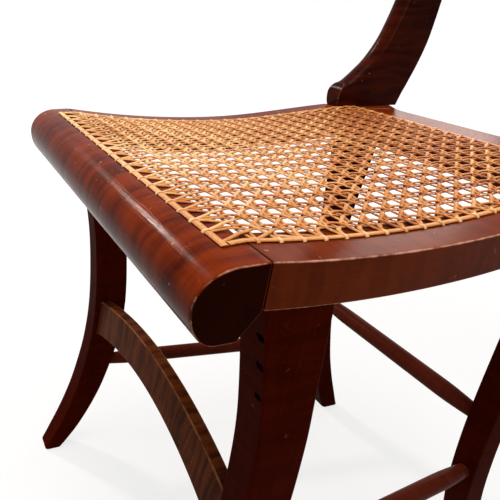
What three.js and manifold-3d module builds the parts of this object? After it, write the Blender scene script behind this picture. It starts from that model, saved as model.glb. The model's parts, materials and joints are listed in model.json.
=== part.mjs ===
// A klismos chair in curly maple: a rolled front rail, dipped side rails, sabre legs,
// an arched front stretcher, turned rods, swept back posts with a tablet crest, and a
// hand-caned seat. Millimetres, +Z up, the front faces -Y, and right and left are as seen
// from the front, with +X to the right. While it is built, Y is measured back from the
// joint of the front rail with the side rails; at the end the chair is moved so that the
// origin lies under its middle.
import * as THREE from 'three';
import { mergeVertices } from 'three/addons/utils/BufferGeometryUtils.js';
import Module from 'manifold-3d';

// Clearances
const fitGap = 0.3;
const tenonClearance = 0.35;
const cutOverrun = 5;
const weldTolerance = 1e-4;

// Seat frame
const frontWidth = 383;
const rearWidth = 308.2;
const sideRailLength = 374;
const railBreadth = 38;
const railThickness = 27.5;
const seatHeight = 458;
const seatRearDrop = 4.5;
const seatDip = 13.6;
const dipPlace = 160;
const levelStart = 296;
const dipEndSlopeShare = 1;

// Rolled front rail
const noseReach = 41;
const noseDrop = 21;
const frontRailHeight = 44.2;
const frontRailFlat = 16;
const rollFlatFront = 24;
const rollFlatBack = 12.5;

const rollSteps = 7;
const railSteps = 18;
const underRailSteps = 32;

// Rear rail
const rearRailFront = 302;
const rearRailBack = 354;
const coveReach = 36;
const coveSteps = 5;

// Front legs
const frontLegThickness = 29;
const frontLegInset = 4;
const frontLegFace = 22.4;
const frontLegSweep = 78;
const frontLegDepth = 38;
// Height up the leg, sweep ahead of the waist, and depth front to back.
const frontLegShares = [
  [0, -1, 0.63],
  [0.09, -0.725, 0.78],
  [0.18, -0.497, 0.89],
  [0.27, -0.316, 0.96],
  [0.4, -0.125, 1.02],
  [0.54, -0.02, 1.05],
  [0.72, -0.01, 1],
  [0.86, -0.09, 1.02],
  [1.02, -0.24, 1.16],
];

// Rear legs
const rearLegThickness = 26.5;
const rearLegInset = 11.1;
const rearLegFront = 304;
const rearLegSweep = 88;
const rearLegDepth = 24;
const rearLegShares = [
  [0, 1, 1.1],
  [0.09, 0.796, 1.1],
  [0.18, 0.63, 1.06],
  [0.27, 0.497, 1],
  [0.4, 0.355, 0.92],
  [0.54, 0.243, 0.87],
  [0.72, 0.143, 0.98],
  [0.86, 0.073, 1.38],
  [1.02, -0.005, 1.95],
];
const legSteps = 16;

// Back posts
const postThickness = 21.5;
const postInset = 1;
const postNoseFront = 297.5;
const postFootDepth = 66;
const postHeight = 294;
const postLean = 110;
const postBullnose = 8;
// Height up the post, front edge back from the nose, and depth front to back.
const postShares = [
  [0, 0.01, 1.12],
  [0.045, 0, 1.19],
  [0.07, 0.03, 1.18],
  [0.09, 0.1, 1.09],
  [0.12, 0.185, 0.99],
  [0.16, 0.28, 0.88],
  [0.22, 0.37, 0.78],
  [0.29, 0.43, 0.7],
  [0.37, 0.475, 0.635],
  [0.56, 0.555, 0.535],
  [0.78, 0.66, 0.455],
  [1, 0.798, 0.41],
];
const postSteps = 26;
const bullnoseSides = 6;

// Crest rail and cross splat
const crestOverhang = 49.4;
const crestHeight = 88;
const crestThickness = 20;
const crestBow = 44;
const crestLean = 16;
const crestArch = 5;
const crestSteps = 18;
const splatThickness = 12;
const splatHeight = 34;
const splatSwell = 24;
const splatLean = 7;
const splatRise = 142;
const splatSteps = 16;

// Stretchers
const boardThickness = 12;
const boardFront = 31.8;
const boardLean = 0.146;
const boardTopHeight = 260;
const boardEndTopHeight = 236;
const boardDepth = 40;
const boardEndDepth = 45;
const boardSteps = 12;
const rodRadius = 9.5;
const rodShoulderRadius = 7.2;
const rodTaperLength = 46;
const rodSides = 12;
const sideRodHeight = 137;
const rearRodHeight = 207;
const rodSocketDepth = 11;

// Tenons: breadth across, height or depth, and length into the other piece
const railTenon = { breadth: 14, height: 13, length: 16 };
const rearTenon = { breadth: 20, height: 8, length: 16, drop: 4 };
const legTenon = { breadth: 12, depth: 22, length: 11 };
const postTenon = { breadth: 10, depth: 22, length: 18, fromBack: 6 };
const crestTenon = { breadth: 12, depth: 9, length: 22 };
const boardTenon = { thickness: 6, height: 32, length: 14 };
const splatTenon = { thickness: 6, height: 20, length: 12 };

// Cane seat
const caneInset = 25.6;
const caneFrontRow = 13.5;
const caneRearRow = 317;
const caneBorder = 2.7;
const caneThickness = 2.2;
const caneGapsAcross = 16;
const caneGapsDeep = 17;
const caneStrandShare = 0.36;
const binderWidth = 5;
const binderThickness = 1.2;
const binderSteps = 18;
const tieWidth = 2.4;
const tieThickness = 0.7;
const frontHoles = 20;
const frontHolePitch = 15.7;
const rearHoles = 18;
const rearHolePitch = 14.1;
const sideHoles = 19;
const sideHolePitch = 15.75;
const firstSideHole = 6.5;

// Cut nails in the face of one front leg
const nailSide = 4.6;
const nailLength = 16;
const nailSink = 1.6;
const nailHeights = [406, 386, 362];
const nailFromEdge = 6;

const lib = await Module();
lib.setup();

const splay = (frontWidth - rearWidth) / 2 / sideRailLength;
const halfWidth = frontWidth / 2;
const underSeat = seatHeight - railThickness;
const seatRearHeight = seatHeight - seatRearDrop;

const maple = new THREE.MeshStandardMaterial({ color: 0x6b2a12, roughness: 0.32, metalness: 0 });
const darkMaple = new THREE.MeshStandardMaterial({ color: 0x3a1008, roughness: 0.35, metalness: 0 });
const cane = new THREE.MeshStandardMaterial({ color: 0xd9954a, roughness: 0.55, metalness: 0 });
const iron = new THREE.MeshStandardMaterial({ color: 0x120c0a, roughness: 0.7, metalness: 0.6 });

const chair = new THREE.Group();

// Outer face of the side rails at a distance back from the front joint.
function railOuter(y) {
  return halfWidth - splay * y;
}

// Top of the side rails: dipped for the sitter, level under the back posts.
function railTop(y) {
  if (y <= 0) return seatHeight;
  const bottom = seatHeight - seatDip;
  if (y < dipPlace) {
    const t = 1 - y / dipPlace;
    return bottom + seatDip * t * t;
  }
  if (y > levelStart) return seatRearHeight;
  const t = (y - dipPlace) / (levelStart - dipPlace);
  const ease = t * t * (3 - 2 * t) + dipEndSlopeShare * (t * t * t - t * t);
  return bottom + (seatRearHeight - bottom) * ease;
}

// A closed geometry as a solid that can be joined and cut.
function toSolid(geometry) {
  const plain = geometry.clone();
  plain.deleteAttribute('normal');
  plain.deleteAttribute('uv');
  const merged = mergeVertices(plain, weldTolerance);
  return new lib.Manifold(new lib.Mesh({
    numProp: 3,
    vertProperties: new Float32Array(merged.attributes.position.array),
    triVerts: new Uint32Array(merged.index.array),
  }));
}

function toGeometry(solid) {
  const mesh = solid.getMesh();
  const geometry = new THREE.BufferGeometry();
  geometry.setAttribute('position', new THREE.BufferAttribute(mesh.vertProperties, 3));
  geometry.setIndex(new THREE.BufferAttribute(mesh.triVerts, 1));
  geometry.computeVertexNormals();
  return geometry;
}

// Turn every triangle of an indexed geometry over.
function flipped(geometry) {
  const index = geometry.index.array;
  for (let i = 0; i < index.length; i += 3) {
    [index[i + 1], index[i + 2]] = [index[i + 2], index[i + 1]];
  }
  return geometry;
}

// The left-hand twin of a right-hand piece.
function mirrored(geometry) {
  const twin = mergeVertices(geometry.clone());
  twin.scale(-1, 1, 1);
  return flipped(twin);
}

// Skin a closed body over rings that hold the same number of points.
function loft(rings) {
  const count = rings[0].length;
  const positions = rings.flat().flatMap((p) => [p.x, p.y, p.z]);
  const index = [];
  for (let r = 0; r + 1 < rings.length; r += 1) {
    for (let i = 0; i < count; i += 1) {
      const a = r * count + i;
      const b = r * count + ((i + 1) % count);
      index.push(a, b, b + count, a, b + count, a + count);
    }
  }
  const last = (rings.length - 1) * count;
  for (let i = 1; i + 1 < count; i += 1) {
    index.push(0, i + 1, i);
    index.push(last, last + i, last + i + 1);
  }
  const geometry = new THREE.BufferGeometry();
  geometry.setAttribute('position', new THREE.Float32BufferAttribute(positions, 3));
  geometry.setIndex(index);
  return facingOut(geometry);
}

// A closed geometry whose triangles all face outwards.
function facingOut(geometry) {
  const position = geometry.attributes.position;
  const index = geometry.index.array;
  const [a, b, c] = [new THREE.Vector3(), new THREE.Vector3(), new THREE.Vector3()];
  let total = 0;
  for (let i = 0; i < index.length; i += 3) {
    a.fromBufferAttribute(position, index[i]);
    b.fromBufferAttribute(position, index[i + 1]);
    c.fromBufferAttribute(position, index[i + 2]);
    total += a.dot(b.cross(c));
  }
  return total < 0 ? flipped(geometry) : geometry;
}

function shapeOf(points) {
  return new THREE.Shape(points.map(([u, v]) => new THREE.Vector2(u, v)));
}

// A prism along X from an outline in (y, z).
function prismAlongX(points, from, to) {
  const body = new THREE.ExtrudeGeometry(shapeOf(points), { depth: to - from, bevelEnabled: false });
  const turn = new THREE.Matrix4().makeBasis(
    new THREE.Vector3(0, 1, 0), new THREE.Vector3(0, 0, 1), new THREE.Vector3(1, 0, 0));
  return body.applyMatrix4(turn).translate(from, 0, 0);
}

// A prism along Y from an outline in (x, z).
function prismAlongY(points, from, to) {
  const body = new THREE.ExtrudeGeometry(shapeOf(points), { depth: to - from, bevelEnabled: false });
  const turn = new THREE.Matrix4().makeBasis(
    new THREE.Vector3(1, 0, 0), new THREE.Vector3(0, 0, 1), new THREE.Vector3(0, -1, 0));
  return body.applyMatrix4(turn).translate(0, to, 0);
}

// A prism along Z from an outline in (x, y).
function prismAlongZ(points, from, to) {
  const body = new THREE.ExtrudeGeometry(shapeOf(points), { depth: to - from, bevelEnabled: false });
  return body.translate(0, 0, from);
}

// A block between two corners.
function block([x0, x1], [y0, y1], [z0, z1]) {
  const body = new THREE.BoxGeometry(x1 - x0, y1 - y0, z1 - z0);
  return body.translate((x0 + x1) / 2, (y0 + y1) / 2, (z0 + z1) / 2);
}

// A span of a given size about a middle.
function about(middle, size) {
  return [middle - size / 2, middle + size / 2];
}

function grown([low, high], amount) {
  return [low - amount, high + amount];
}

// Lean the sides of a right-hand piece in with the side rails.
function splayed(geometry) {
  const position = geometry.attributes.position;
  for (let i = 0; i < position.count; i += 1) {
    position.setX(i, position.getX(i) - splay * position.getY(i));
  }
  return geometry;
}

// Front and back edges of a swept piece, read at the same heights on both.
function sweptEdges(shares, { height, sweep, depth, datum, base, steps }) {
  const front = [];
  const back = [];
  for (const [heightShare, sweepShare, depthShare] of shares) {
    const z = base + height * heightShare;
    const y = datum + sweep * sweepShare;
    front.push(new THREE.Vector2(y, z));
    back.push(new THREE.Vector2(y + depth * depthShare, z));
  }
  const backs = new THREE.SplineCurve(back).getPoints(steps);
  return new THREE.SplineCurve(front).getPoints(steps)
    .map((p, i) => ({ z: p.y, front: p.x, back: backs[i].x }));
}

// The edge of a swept piece at one height, between the two nearest steps.
function edgeAt(edges, z) {
  const i = Math.max(1, edges.findIndex((edge) => edge.z >= z));
  const [low, high] = [edges[i - 1], edges[i]];
  const t = (z - low.z) / (high.z - low.z);
  return {
    front: THREE.MathUtils.lerp(low.front, high.front, t),
    back: THREE.MathUtils.lerp(low.back, high.back, t),
  };
}

function addMesh(name, geometry, material) {
  const mesh = new THREE.Mesh(geometry, material);
  mesh.name = name;
  chair.add(mesh);
}

function addPair(name, geometry, material) {
  addMesh(`${name}_right`, geometry, material);
  addMesh(`${name}_left`, mirrored(geometry), material);
}

// Everything above the underside of the side rails, kept off by the fitting gap.
function aboveRails() {
  const points = [];
  const reach = sideRailLength + noseReach;
  for (let i = 0; i <= underRailSteps; i += 1) {
    const y = -noseReach + reach * (i / underRailSteps);
    points.push([y, railTop(y) - railThickness - fitGap]);
  }
  points.push([reach, seatHeight + railThickness]);
  points.push([-noseReach - railThickness, seatHeight + railThickness]);
  points.push([-noseReach - railThickness, underSeat - fitGap]);
  return toSolid(prismAlongX(points.reverse(), -frontWidth, frontWidth));
}

// Places that several pieces share
const frontLegX = about(halfWidth - frontLegInset - frontLegThickness / 2, frontLegThickness);
const rearLegX = about(
  railOuter(sideRailLength) - rearLegInset - rearLegThickness / 2, rearLegThickness);
const frontLegEdges = sweptEdges(frontLegShares, {
  height: underSeat, sweep: frontLegSweep, depth: frontLegDepth, datum: frontLegFace, base: 0,
  steps: legSteps,
});
const rearLegEdges = sweptEdges(rearLegShares, {
  height: underSeat, sweep: rearLegSweep, depth: rearLegDepth, datum: rearLegFront, base: 0,
  steps: legSteps,
});
const postEdges = sweptEdges(postShares, {
  height: postHeight, sweep: postLean, depth: postFootDepth, datum: postNoseFront,
  base: seatRearHeight + fitGap, steps: postSteps,
});
const middleOf = ([low, high]) => (low + high) / 2;
const footPostEdge = postEdges[0];
const topPostEdge = postEdges[postEdges.length - 1];
const postTop = topPostEdge.z;
const crestBottom = postTop + fitGap;
const crestFootY = middleOf([topPostEdge.front, topPostEdge.back]);
const crestHalf = railOuter(crestFootY) - postInset + crestOverhang;
const sideMortiseX = about(halfWidth - railBreadth / 2, railTenon.breadth);
const sideMortiseZ = about(seatHeight - railThickness / 2, railTenon.height);
const boardEndMiddle = boardEndTopHeight - boardEndDepth / 2;
const boardMiddleY = boardFront + boardThickness / 2 + boardLean * (boardEndMiddle - boardTopHeight);
const boardTenonY = about(boardMiddleY, boardTenon.thickness);
const boardTenonZ = about(boardEndMiddle, boardTenon.height);
const rearTenonY = about((rearRailFront + rearRailBack) / 2, rearTenon.breadth);
const rearTenonZ = [
  seatRearHeight - rearTenon.drop - rearTenon.height, seatRearHeight - rearTenon.drop];
const rearTenonTip = railOuter(rearRailBack) - railBreadth + rearTenon.length;
const splatMiddle = seatRearHeight + splatRise;
const splatEdge = edgeAt(postEdges, splatMiddle);
const splatY = middleOf([splatEdge.front, splatEdge.back]);
const splatTenonZ = about(splatMiddle, splatTenon.height);
const splatTenonY = about(splatY, splatTenon.thickness);

// Inner face of a back post at a distance back from the front joint.
function postInner(y) {
  return railOuter(y) - postInset - postThickness;
}

// A leg tenon that stands up into the side rail above it.
function legTenonSpans(legX, edges) {
  const y = about(middleOf([edgeAt(edges, underSeat).front, edgeAt(edges, underSeat).back]),
    legTenon.depth);
  const under = railTop(middleOf(y)) - railThickness;
  return {
    x: about(middleOf(legX), legTenon.breadth),
    y,
    z: [under - legTenon.depth, under + legTenon.length],
  };
}

const frontLegTenon = legTenonSpans(frontLegX, frontLegEdges);
const rearLegTenon = legTenonSpans(rearLegX, rearLegEdges);

// The post's tenon goes down into the side rail, near the post's back edge.
const postTenonBack = footPostEdge.back - postTenon.fromBack;
const postTenonSpans = {
  x: about(railOuter(postTenonBack - postTenon.depth / 2) - postInset - postThickness / 2,
    postTenon.breadth),
  y: [postTenonBack - postTenon.depth, postTenonBack],
  z: [seatRearHeight - postTenon.length, seatRearHeight + postTenon.length],
};
const crestTenonSpans = {
  x: about(railOuter(crestFootY) - postInset - postThickness / 2, crestTenon.breadth),
  y: about(crestFootY, crestTenon.depth),
  z: [postTop - crestTenon.length, postTop + crestTenon.length],
};

// A mortise is its tenon's block grown by the clearance.
function mortise({ x, y, z }) {
  return toSolid(block(grown(x, tenonClearance), grown(y, tenonClearance), grown(z, tenonClearance)));
}

function tenon({ x, y, z }) {
  return toSolid(block(x, y, z));
}

// The same block on the other side of the middle.
function opposite({ x, y, z }) {
  return { x: [-x[1], -x[0]], y, z };
}

const sideTenonSpans = {
  x: sideMortiseX, y: [-railTenon.length, railTenon.length], z: sideMortiseZ };
const rearTenonSpans = {
  x: [rearTenonTip - railBreadth, rearTenonTip], y: rearTenonY, z: rearTenonZ };
const boardTenonSpans = {
  x: [frontLegX[0] - boardTenon.length, frontLegX[0] + boardTenon.length],
  y: boardTenonY, z: boardTenonZ };
const splatTenonSpans = {
  x: [postInner(splatY) - splatTenon.length, postInner(splatY) + splatTenon.length],
  y: splatTenonY, z: splatTenonZ };

// Front rail: a flat top rolled over into a round nose that hangs below the side rails.
function frontRail() {
  const nose = seatHeight - noseDrop;
  const bottom = seatHeight - frontRailHeight;
  const points = [[0, underSeat], [0, seatHeight], [-frontRailFlat, seatHeight]];
  for (let i = 1; i <= rollSteps; i += 1) {
    const turn = (Math.PI / 2) * (i / rollSteps);
    points.push([
      -frontRailFlat - (noseReach - frontRailFlat) * Math.sin(turn),
      nose + noseDrop * Math.cos(turn)]);
  }
  for (let i = 1; i <= rollSteps; i += 1) {
    const turn = (Math.PI / 2) * (i / rollSteps);
    points.push([
      -rollFlatFront - (noseReach - rollFlatFront) * Math.cos(turn),
      nose - (nose - bottom) * Math.sin(turn)]);
  }
  points.push([-rollFlatBack, bottom]);
  const bar = toSolid(prismAlongX(points, -halfWidth, halfWidth));
  const cut = mortise(sideTenonSpans).add(mortise(opposite(sideTenonSpans)));
  return toGeometry(bar.subtract(cut));
}

// Where the cove of the seat frame ends, at the inner face of a back post.
function coveEnd() {
  return postInner(sideRailLength);
}

// Back of the seat frame at a place across: straight, then hollowed out to the post.
function coveBack(x) {
  const run = Math.min(1, Math.max(0, (x - coveEnd() + coveReach) / coveReach));
  return sideRailLength - (sideRailLength - rearRailBack) * Math.sqrt(1 - run * run);
}

// The hollow that the cove takes off the inner back corner of a side rail.
function coveCut() {
  const start = coveEnd() - coveReach / 2;
  const points = [];
  for (let i = 0; i <= coveSteps; i += 1) {
    const x = start + (coveEnd() - start) * Math.sin((Math.PI / 2) * (i / coveSteps));
    points.push([x, coveBack(x)]);
  }
  const behind = sideRailLength + cutOverrun;
  points.push([coveEnd(), behind], [start, behind]);
  return toSolid(prismAlongZ(points, seatRearHeight - railThickness - cutOverrun,
    seatRearHeight + cutOverrun));
}

// Side rail: one thickness all along, dipped in its length and leaning in to the back.
function sideRail() {
  const tops = [];
  for (let i = 0; i <= railSteps; i += 1) {
    const y = fitGap + (sideRailLength - fitGap) * (i / railSteps);
    tops.push([y, railTop(y)]);
  }
  const bottoms = tops.map(([y, z]) => [y, z - railThickness]).reverse();
  const rail = toSolid(splayed(prismAlongX(
    [...tops, ...bottoms], halfWidth - railBreadth, halfWidth)));
  return toGeometry(rail
    .add(tenon(sideTenonSpans))
    .subtract(coveCut())
    .subtract(mortise(frontLegTenon))
    .subtract(mortise(rearLegTenon))
    .subtract(mortise(postTenonSpans))
    .subtract(mortise(rearTenonSpans)));
}

// Rear rail: flat on top, with a cove that starts at each end.
function rearRail() {
  const end = (y) => railOuter(y) - railBreadth - fitGap;
  const tip = end(coveBack(end(rearRailBack)));
  const start = coveEnd() - coveReach;
  const right = [[end(rearRailFront), rearRailFront]];
  for (let i = coveSteps; i >= 0; i -= 1) {
    const x = start + (tip - start) * (i / coveSteps);
    right.push([x, coveBack(x)]);
  }
  const left = right.map(([x, y]) => [-x, y]).reverse();
  const bar = toSolid(prismAlongZ([...right, ...left], seatRearHeight - railThickness, seatRearHeight));
  return toGeometry(bar.add(tenon(rearTenonSpans)).add(tenon(opposite(rearTenonSpans))));
}

// A leg as level slices between its front and back edges, trimmed under the side rail.
function leg([inner, outer], edges, tenonSpans) {
  const rings = edges.map(({ z, front, back }) => [
    new THREE.Vector3(inner, front, z),
    new THREE.Vector3(outer, front, z),
    new THREE.Vector3(outer, back, z),
    new THREE.Vector3(inner, back, z),
  ]);
  return toSolid(loft(rings)).subtract(aboveRails()).add(tenon(tenonSpans));
}

// A turned rod between two points, tapered to each end.
function rod(from, to, grow) {
  const length = from.distanceTo(to);
  const profile = [
    [0, 0], [rodShoulderRadius + grow, 0], [rodShoulderRadius + grow, rodSocketDepth],
    [rodRadius + grow, rodSocketDepth + rodTaperLength],
    [rodRadius + grow, length - rodSocketDepth - rodTaperLength],
    [rodShoulderRadius + grow, length - rodSocketDepth],
    [rodShoulderRadius + grow, length], [0, length],
  ].map(([r, h]) => new THREE.Vector2(r, h));
  const turned = new THREE.LatheGeometry(profile, rodSides);
  turned.deleteAttribute('normal');
  turned.deleteAttribute('uv');
  const body = mergeVertices(turned, weldTolerance);
  const aim = new THREE.Quaternion().setFromUnitVectors(
    new THREE.Vector3(0, 1, 0), to.clone().sub(from).normalize());
  return facingOut(body.applyQuaternion(aim).translate(from.x, from.y, from.z));
}

const sideRodFront = new THREE.Vector3(
  middleOf(frontLegX), edgeAt(frontLegEdges, sideRodHeight).back - rodSocketDepth, sideRodHeight);
const sideRodBack = new THREE.Vector3(
  middleOf(rearLegX), edgeAt(rearLegEdges, sideRodHeight).front + rodSocketDepth, sideRodHeight);
const rearRodEdge = edgeAt(rearLegEdges, rearRodHeight);
const rearRodEnd = new THREE.Vector3(
  rearLegX[0] + rodSocketDepth, middleOf([rearRodEdge.front, rearRodEdge.back]), rearRodHeight);
const rearRodStart = new THREE.Vector3(-rearRodEnd.x, rearRodEnd.y, rearRodEnd.z);

// A bore that takes a rod's end, a little deeper than the rod goes.
function rodBore(from, to) {
  const beyond = from.clone().sub(to).normalize().multiplyScalar(tenonClearance);
  return toSolid(rod(from.clone().add(beyond), to.clone().sub(beyond), fitGap));
}

function frontLeg(withNails) {
  let body = leg(frontLegX, frontLegEdges, frontLegTenon)
    .subtract(mortise(boardTenonSpans))
    .subtract(rodBore(sideRodFront, sideRodBack));
  if (withNails) {
    for (const spans of nailSpans(tenonClearance, -cutOverrun)) {
      body = body.subtract(tenon(spans));
    }
  }
  return toGeometry(body);
}

function rearLeg() {
  return toGeometry(leg(rearLegX, rearLegEdges, rearLegTenon)
    .subtract(rodBore(sideRodFront, sideRodBack))
    .subtract(rodBore(rearRodEnd, rearRodStart)));
}

// Square nails in the front face of the right front leg, sunk below the surface.
function nailSpans(grow, start) {
  return nailHeights.map((height) => {
    const face = edgeAt(frontLegEdges, height).front;
    return {
      x: grown(about(frontLegX[1] - nailFromEdge, nailSide), grow),
      y: [face + start, face + nailLength + grow],
      z: grown(about(height, nailSide), grow),
    };
  });
}

// Back post: slices with a half-round front edge, leaning in with the side rail.
function backPost() {
  const x0 = halfWidth - postInset - postThickness;
  const rings = postEdges.map(({ z, front, back }) => {
    const ring = [];
    for (let i = 0; i <= bullnoseSides; i += 1) {
      const turn = Math.PI * (i / bullnoseSides);
      ring.push([
        x0 + (postThickness / 2) * (1 - Math.cos(turn)),
        front + postBullnose * (1 - Math.sin(turn))]);
    }
    ring.push([x0 + postThickness, back], [x0, back]);
    return ring.map(([x, y]) => new THREE.Vector3(x - splay * y, y, z));
  });
  return toGeometry(toSolid(loft(rings))
    .add(tenon(postTenonSpans))
    .add(tenon(crestTenonSpans))
    .subtract(mortise(splatTenonSpans)));
}

// A board across the back that bows away from the sitter and leans with the posts.
function bowedBoard({ half, bow, steps, middleY, thickness, lean, low, high }) {
  const rings = [];
  for (let i = 0; i <= steps; i += 1) {
    const share = (2 * i) / steps - 1;
    const x = half * share;
    const y = middleY + bow * (1 - share * share);
    const [bottom, top] = [low(share), high(share)];
    rings.push([
      new THREE.Vector3(x, y - thickness / 2, bottom),
      new THREE.Vector3(x, y + thickness / 2, bottom),
      new THREE.Vector3(x, y + thickness / 2 + lean, top),
      new THREE.Vector3(x, y - thickness / 2 + lean, top),
    ]);
  }
  return toSolid(loft(rings));
}

// Crest rail: a tablet that sits on the posts' tops and overhangs them at both ends.
function crestRail() {
  const half = crestHalf;
  const atPost = middleOf(crestTenonSpans.x) / half;
  const board = bowedBoard({
    half,
    bow: crestBow,
    steps: crestSteps,
    middleY: crestFootY - crestBow * (1 - atPost * atPost),
    thickness: crestThickness,
    lean: crestLean,
    low: () => crestBottom,
    high: (share) => crestBottom + crestHeight - crestArch * share * share,
  });
  return toGeometry(board
    .subtract(mortise(crestTenonSpans))
    .subtract(mortise(opposite(crestTenonSpans))));
}

// Cross splat: a slat between the posts, deeper at its middle.
function crossSplat() {
  const half = postInner(splatY + splatLean) - fitGap;
  const ratio = half / crestHalf;
  const swell = (share) => splatSwell * Math.cos((Math.PI / 2) * share) ** 2;
  const board = bowedBoard({
    half,
    bow: crestBow * ratio * ratio,
    steps: splatSteps,
    middleY: splatY - splatLean / 2,
    thickness: splatThickness,
    lean: splatLean,
    low: (share) => splatMiddle - (splatHeight + swell(share)) / 2,
    high: (share) => splatMiddle + (splatHeight + swell(share)) / 2,
  });
  return toGeometry(board.add(tenon(splatTenonSpans)).add(tenon(opposite(splatTenonSpans))));
}

// Front stretcher: a board arched above and below, its underside drawn forward as the
// legs lean, tenoned into the front legs.
function frontStretcher() {
  const half = frontLegX[0] - fitGap;
  const tops = [];
  const bottoms = [];
  for (let i = 0; i <= boardSteps; i += 1) {
    const share = (2 * i) / boardSteps - 1;
    const x = half * share;
    const top = THREE.MathUtils.lerp(boardTopHeight, boardEndTopHeight, share * share);
    tops.push([x, top]);
    bottoms.push([x, top - THREE.MathUtils.lerp(boardDepth, boardEndDepth, share * share)]);
  }
  const bar = prismAlongY([...bottoms, ...tops.reverse()], boardFront, boardFront + boardThickness);
  const position = bar.attributes.position;
  for (let i = 0; i < position.count; i += 1) {
    position.setY(i, position.getY(i) + boardLean * (position.getZ(i) - boardTopHeight));
  }
  return toGeometry(toSolid(bar)
    .add(tenon(boardTenonSpans)).add(tenon(opposite(boardTenonSpans))));
}

// Hole lines of the cane, where the binder lies.
function caneLine(y) {
  return railOuter(y) - caneInset;
}

// How far the taut sheet stands off the dip between the side rails.
function caneLift(x, y) {
  const span = caneRearRow + caneFrontRow;
  const share = THREE.MathUtils.clamp((y + caneFrontRow) / span, 0, 1);
  const dip = THREE.MathUtils.lerp(seatHeight, seatRearHeight, share) - railTop(y);
  const bend = Math.PI / span;
  return dip * Math.max(0, 1 - Math.cosh(bend * x) / Math.cosh(bend * caneLine(y)));
}

// Stations of a row of strands and gaps: a border, then gaps with strands between them.
function netStations(length, gaps) {
  const pitch = (length - 2 * caneBorder) / (gaps - caneStrandShare);
  const gap = pitch * (1 - caneStrandShare);
  const stations = [0];
  for (let i = 0; i < gaps; i += 1) {
    const start = caneBorder + i * pitch;
    stations.push(start, start + gap);
  }
  stations.push(length);
  return stations;
}

// Cane panel: a thin net, pulled taut over the dip of the side rails.
function canePanel() {
  const front = -caneFrontRow - caneBorder;
  const back = caneRearRow + caneBorder;
  const across = 2 * (caneLine(0) + caneBorder);
  const us = netStations(across, caneGapsAcross).map((u) => (2 * u) / across - 1);
  const ys = netStations(back - front, caneGapsDeep).map((y) => front + y);
  const levels = [fitGap, fitGap + caneThickness];
  const positions = [];
  for (const level of levels) {
    for (const y of ys) {
      for (const u of us) {
        const x = u * (caneLine(y) + caneBorder);
        positions.push(x, y, railTop(y) + caneLift(x, y) + level);
      }
    }
  }
  const columns = us.length;
  const layer = columns * ys.length;
  const at = (i, j, level) => level * layer + j * columns + i;
  const open = (i, j) => i % 2 === 1 && j % 2 === 1;
  const filled = (i, j) => i >= 0 && j >= 0 && i + 1 < columns && j + 1 < ys.length && !open(i, j);
  const index = [];
  const quad = (a, b, c, d) => index.push(a, b, c, a, c, d);
  for (let j = 0; j + 1 < ys.length; j += 1) {
    for (let i = 0; i + 1 < columns; i += 1) {
      if (filled(i, j)) {
        quad(at(i, j, 1), at(i + 1, j, 1), at(i + 1, j + 1, 1), at(i, j + 1, 1));
        quad(at(i, j, 0), at(i, j + 1, 0), at(i + 1, j + 1, 0), at(i + 1, j, 0));
        if (!filled(i, j - 1)) quad(at(i, j, 0), at(i + 1, j, 0), at(i + 1, j, 1), at(i, j, 1));
        if (!filled(i, j + 1)) {
          quad(at(i + 1, j + 1, 0), at(i, j + 1, 0), at(i, j + 1, 1), at(i + 1, j + 1, 1));
        }
        if (!filled(i - 1, j)) quad(at(i, j + 1, 0), at(i, j, 0), at(i, j, 1), at(i, j + 1, 1));
        if (!filled(i + 1, j)) {
          quad(at(i + 1, j, 0), at(i + 1, j + 1, 0), at(i + 1, j + 1, 1), at(i + 1, j, 1));
        }
      }
    }
  }
  const geometry = new THREE.BufferGeometry();
  geometry.setAttribute('position', new THREE.Float32BufferAttribute(positions, 3));
  geometry.setIndex(index);
  return geometry;
}

const binderBase = fitGap + caneThickness + fitGap;
const frontRowY = -caneFrontRow;
const sideBinderFront = frontRowY + binderWidth / 2 + fitGap;
const sideBinderBack = caneRearRow - binderWidth / 2 - fitGap;

// One tie: the fine strand that crosses the binder and holds it down at a hole.
function tie(x, y, heading) {
  const z = railTop(y) + binderBase;
  return toSolid(block(about(0, tieWidth), about(0, binderWidth + 2 * tieThickness),
    [tieThickness / 2, binderThickness + tieThickness])
    .rotateZ(heading)
    .translate(x, y, z));
}

function withTies(strip, places) {
  return toGeometry(places.reduce((all, place) => all.add(tie(...place)), toSolid(strip)));
}

// Binder cane along a side: a flat strip over the hole line, tied down at every hole.
function sideBinder() {
  const stations = [sideBinderFront];
  for (let i = 0; i <= binderSteps; i += 1) stations.push(sideBinderBack * (i / binderSteps));
  const rings = stations.map((y) => {
    const x = caneLine(y);
    const z = railTop(y) + binderBase;
    return [
      new THREE.Vector3(x - binderWidth / 2, y, z),
      new THREE.Vector3(x + binderWidth / 2, y, z),
      new THREE.Vector3(x + binderWidth / 2, y, z + binderThickness),
      new THREE.Vector3(x - binderWidth / 2, y, z + binderThickness),
    ];
  });
  const places = [];
  for (let i = 0; i < sideHoles; i += 1) {
    const y = firstSideHole + sideHolePitch * i;
    places.push([caneLine(y), y, Math.PI / 2 + Math.atan(splay)]);
  }
  return withTies(loft(rings), places);
}

// Binder cane along the front or rear row.
function endBinder(y, holes, pitch) {
  const half = caneLine(y) + binderWidth / 2;
  const z = railTop(y) + binderBase;
  const places = [];
  for (let i = 0; i < holes; i += 1) {
    places.push([(i - (holes - 1) / 2) * pitch, y, 0]);
  }
  return withTies(block([-half, half], about(y, binderWidth), [z, z + binderThickness]), places);
}

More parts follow.
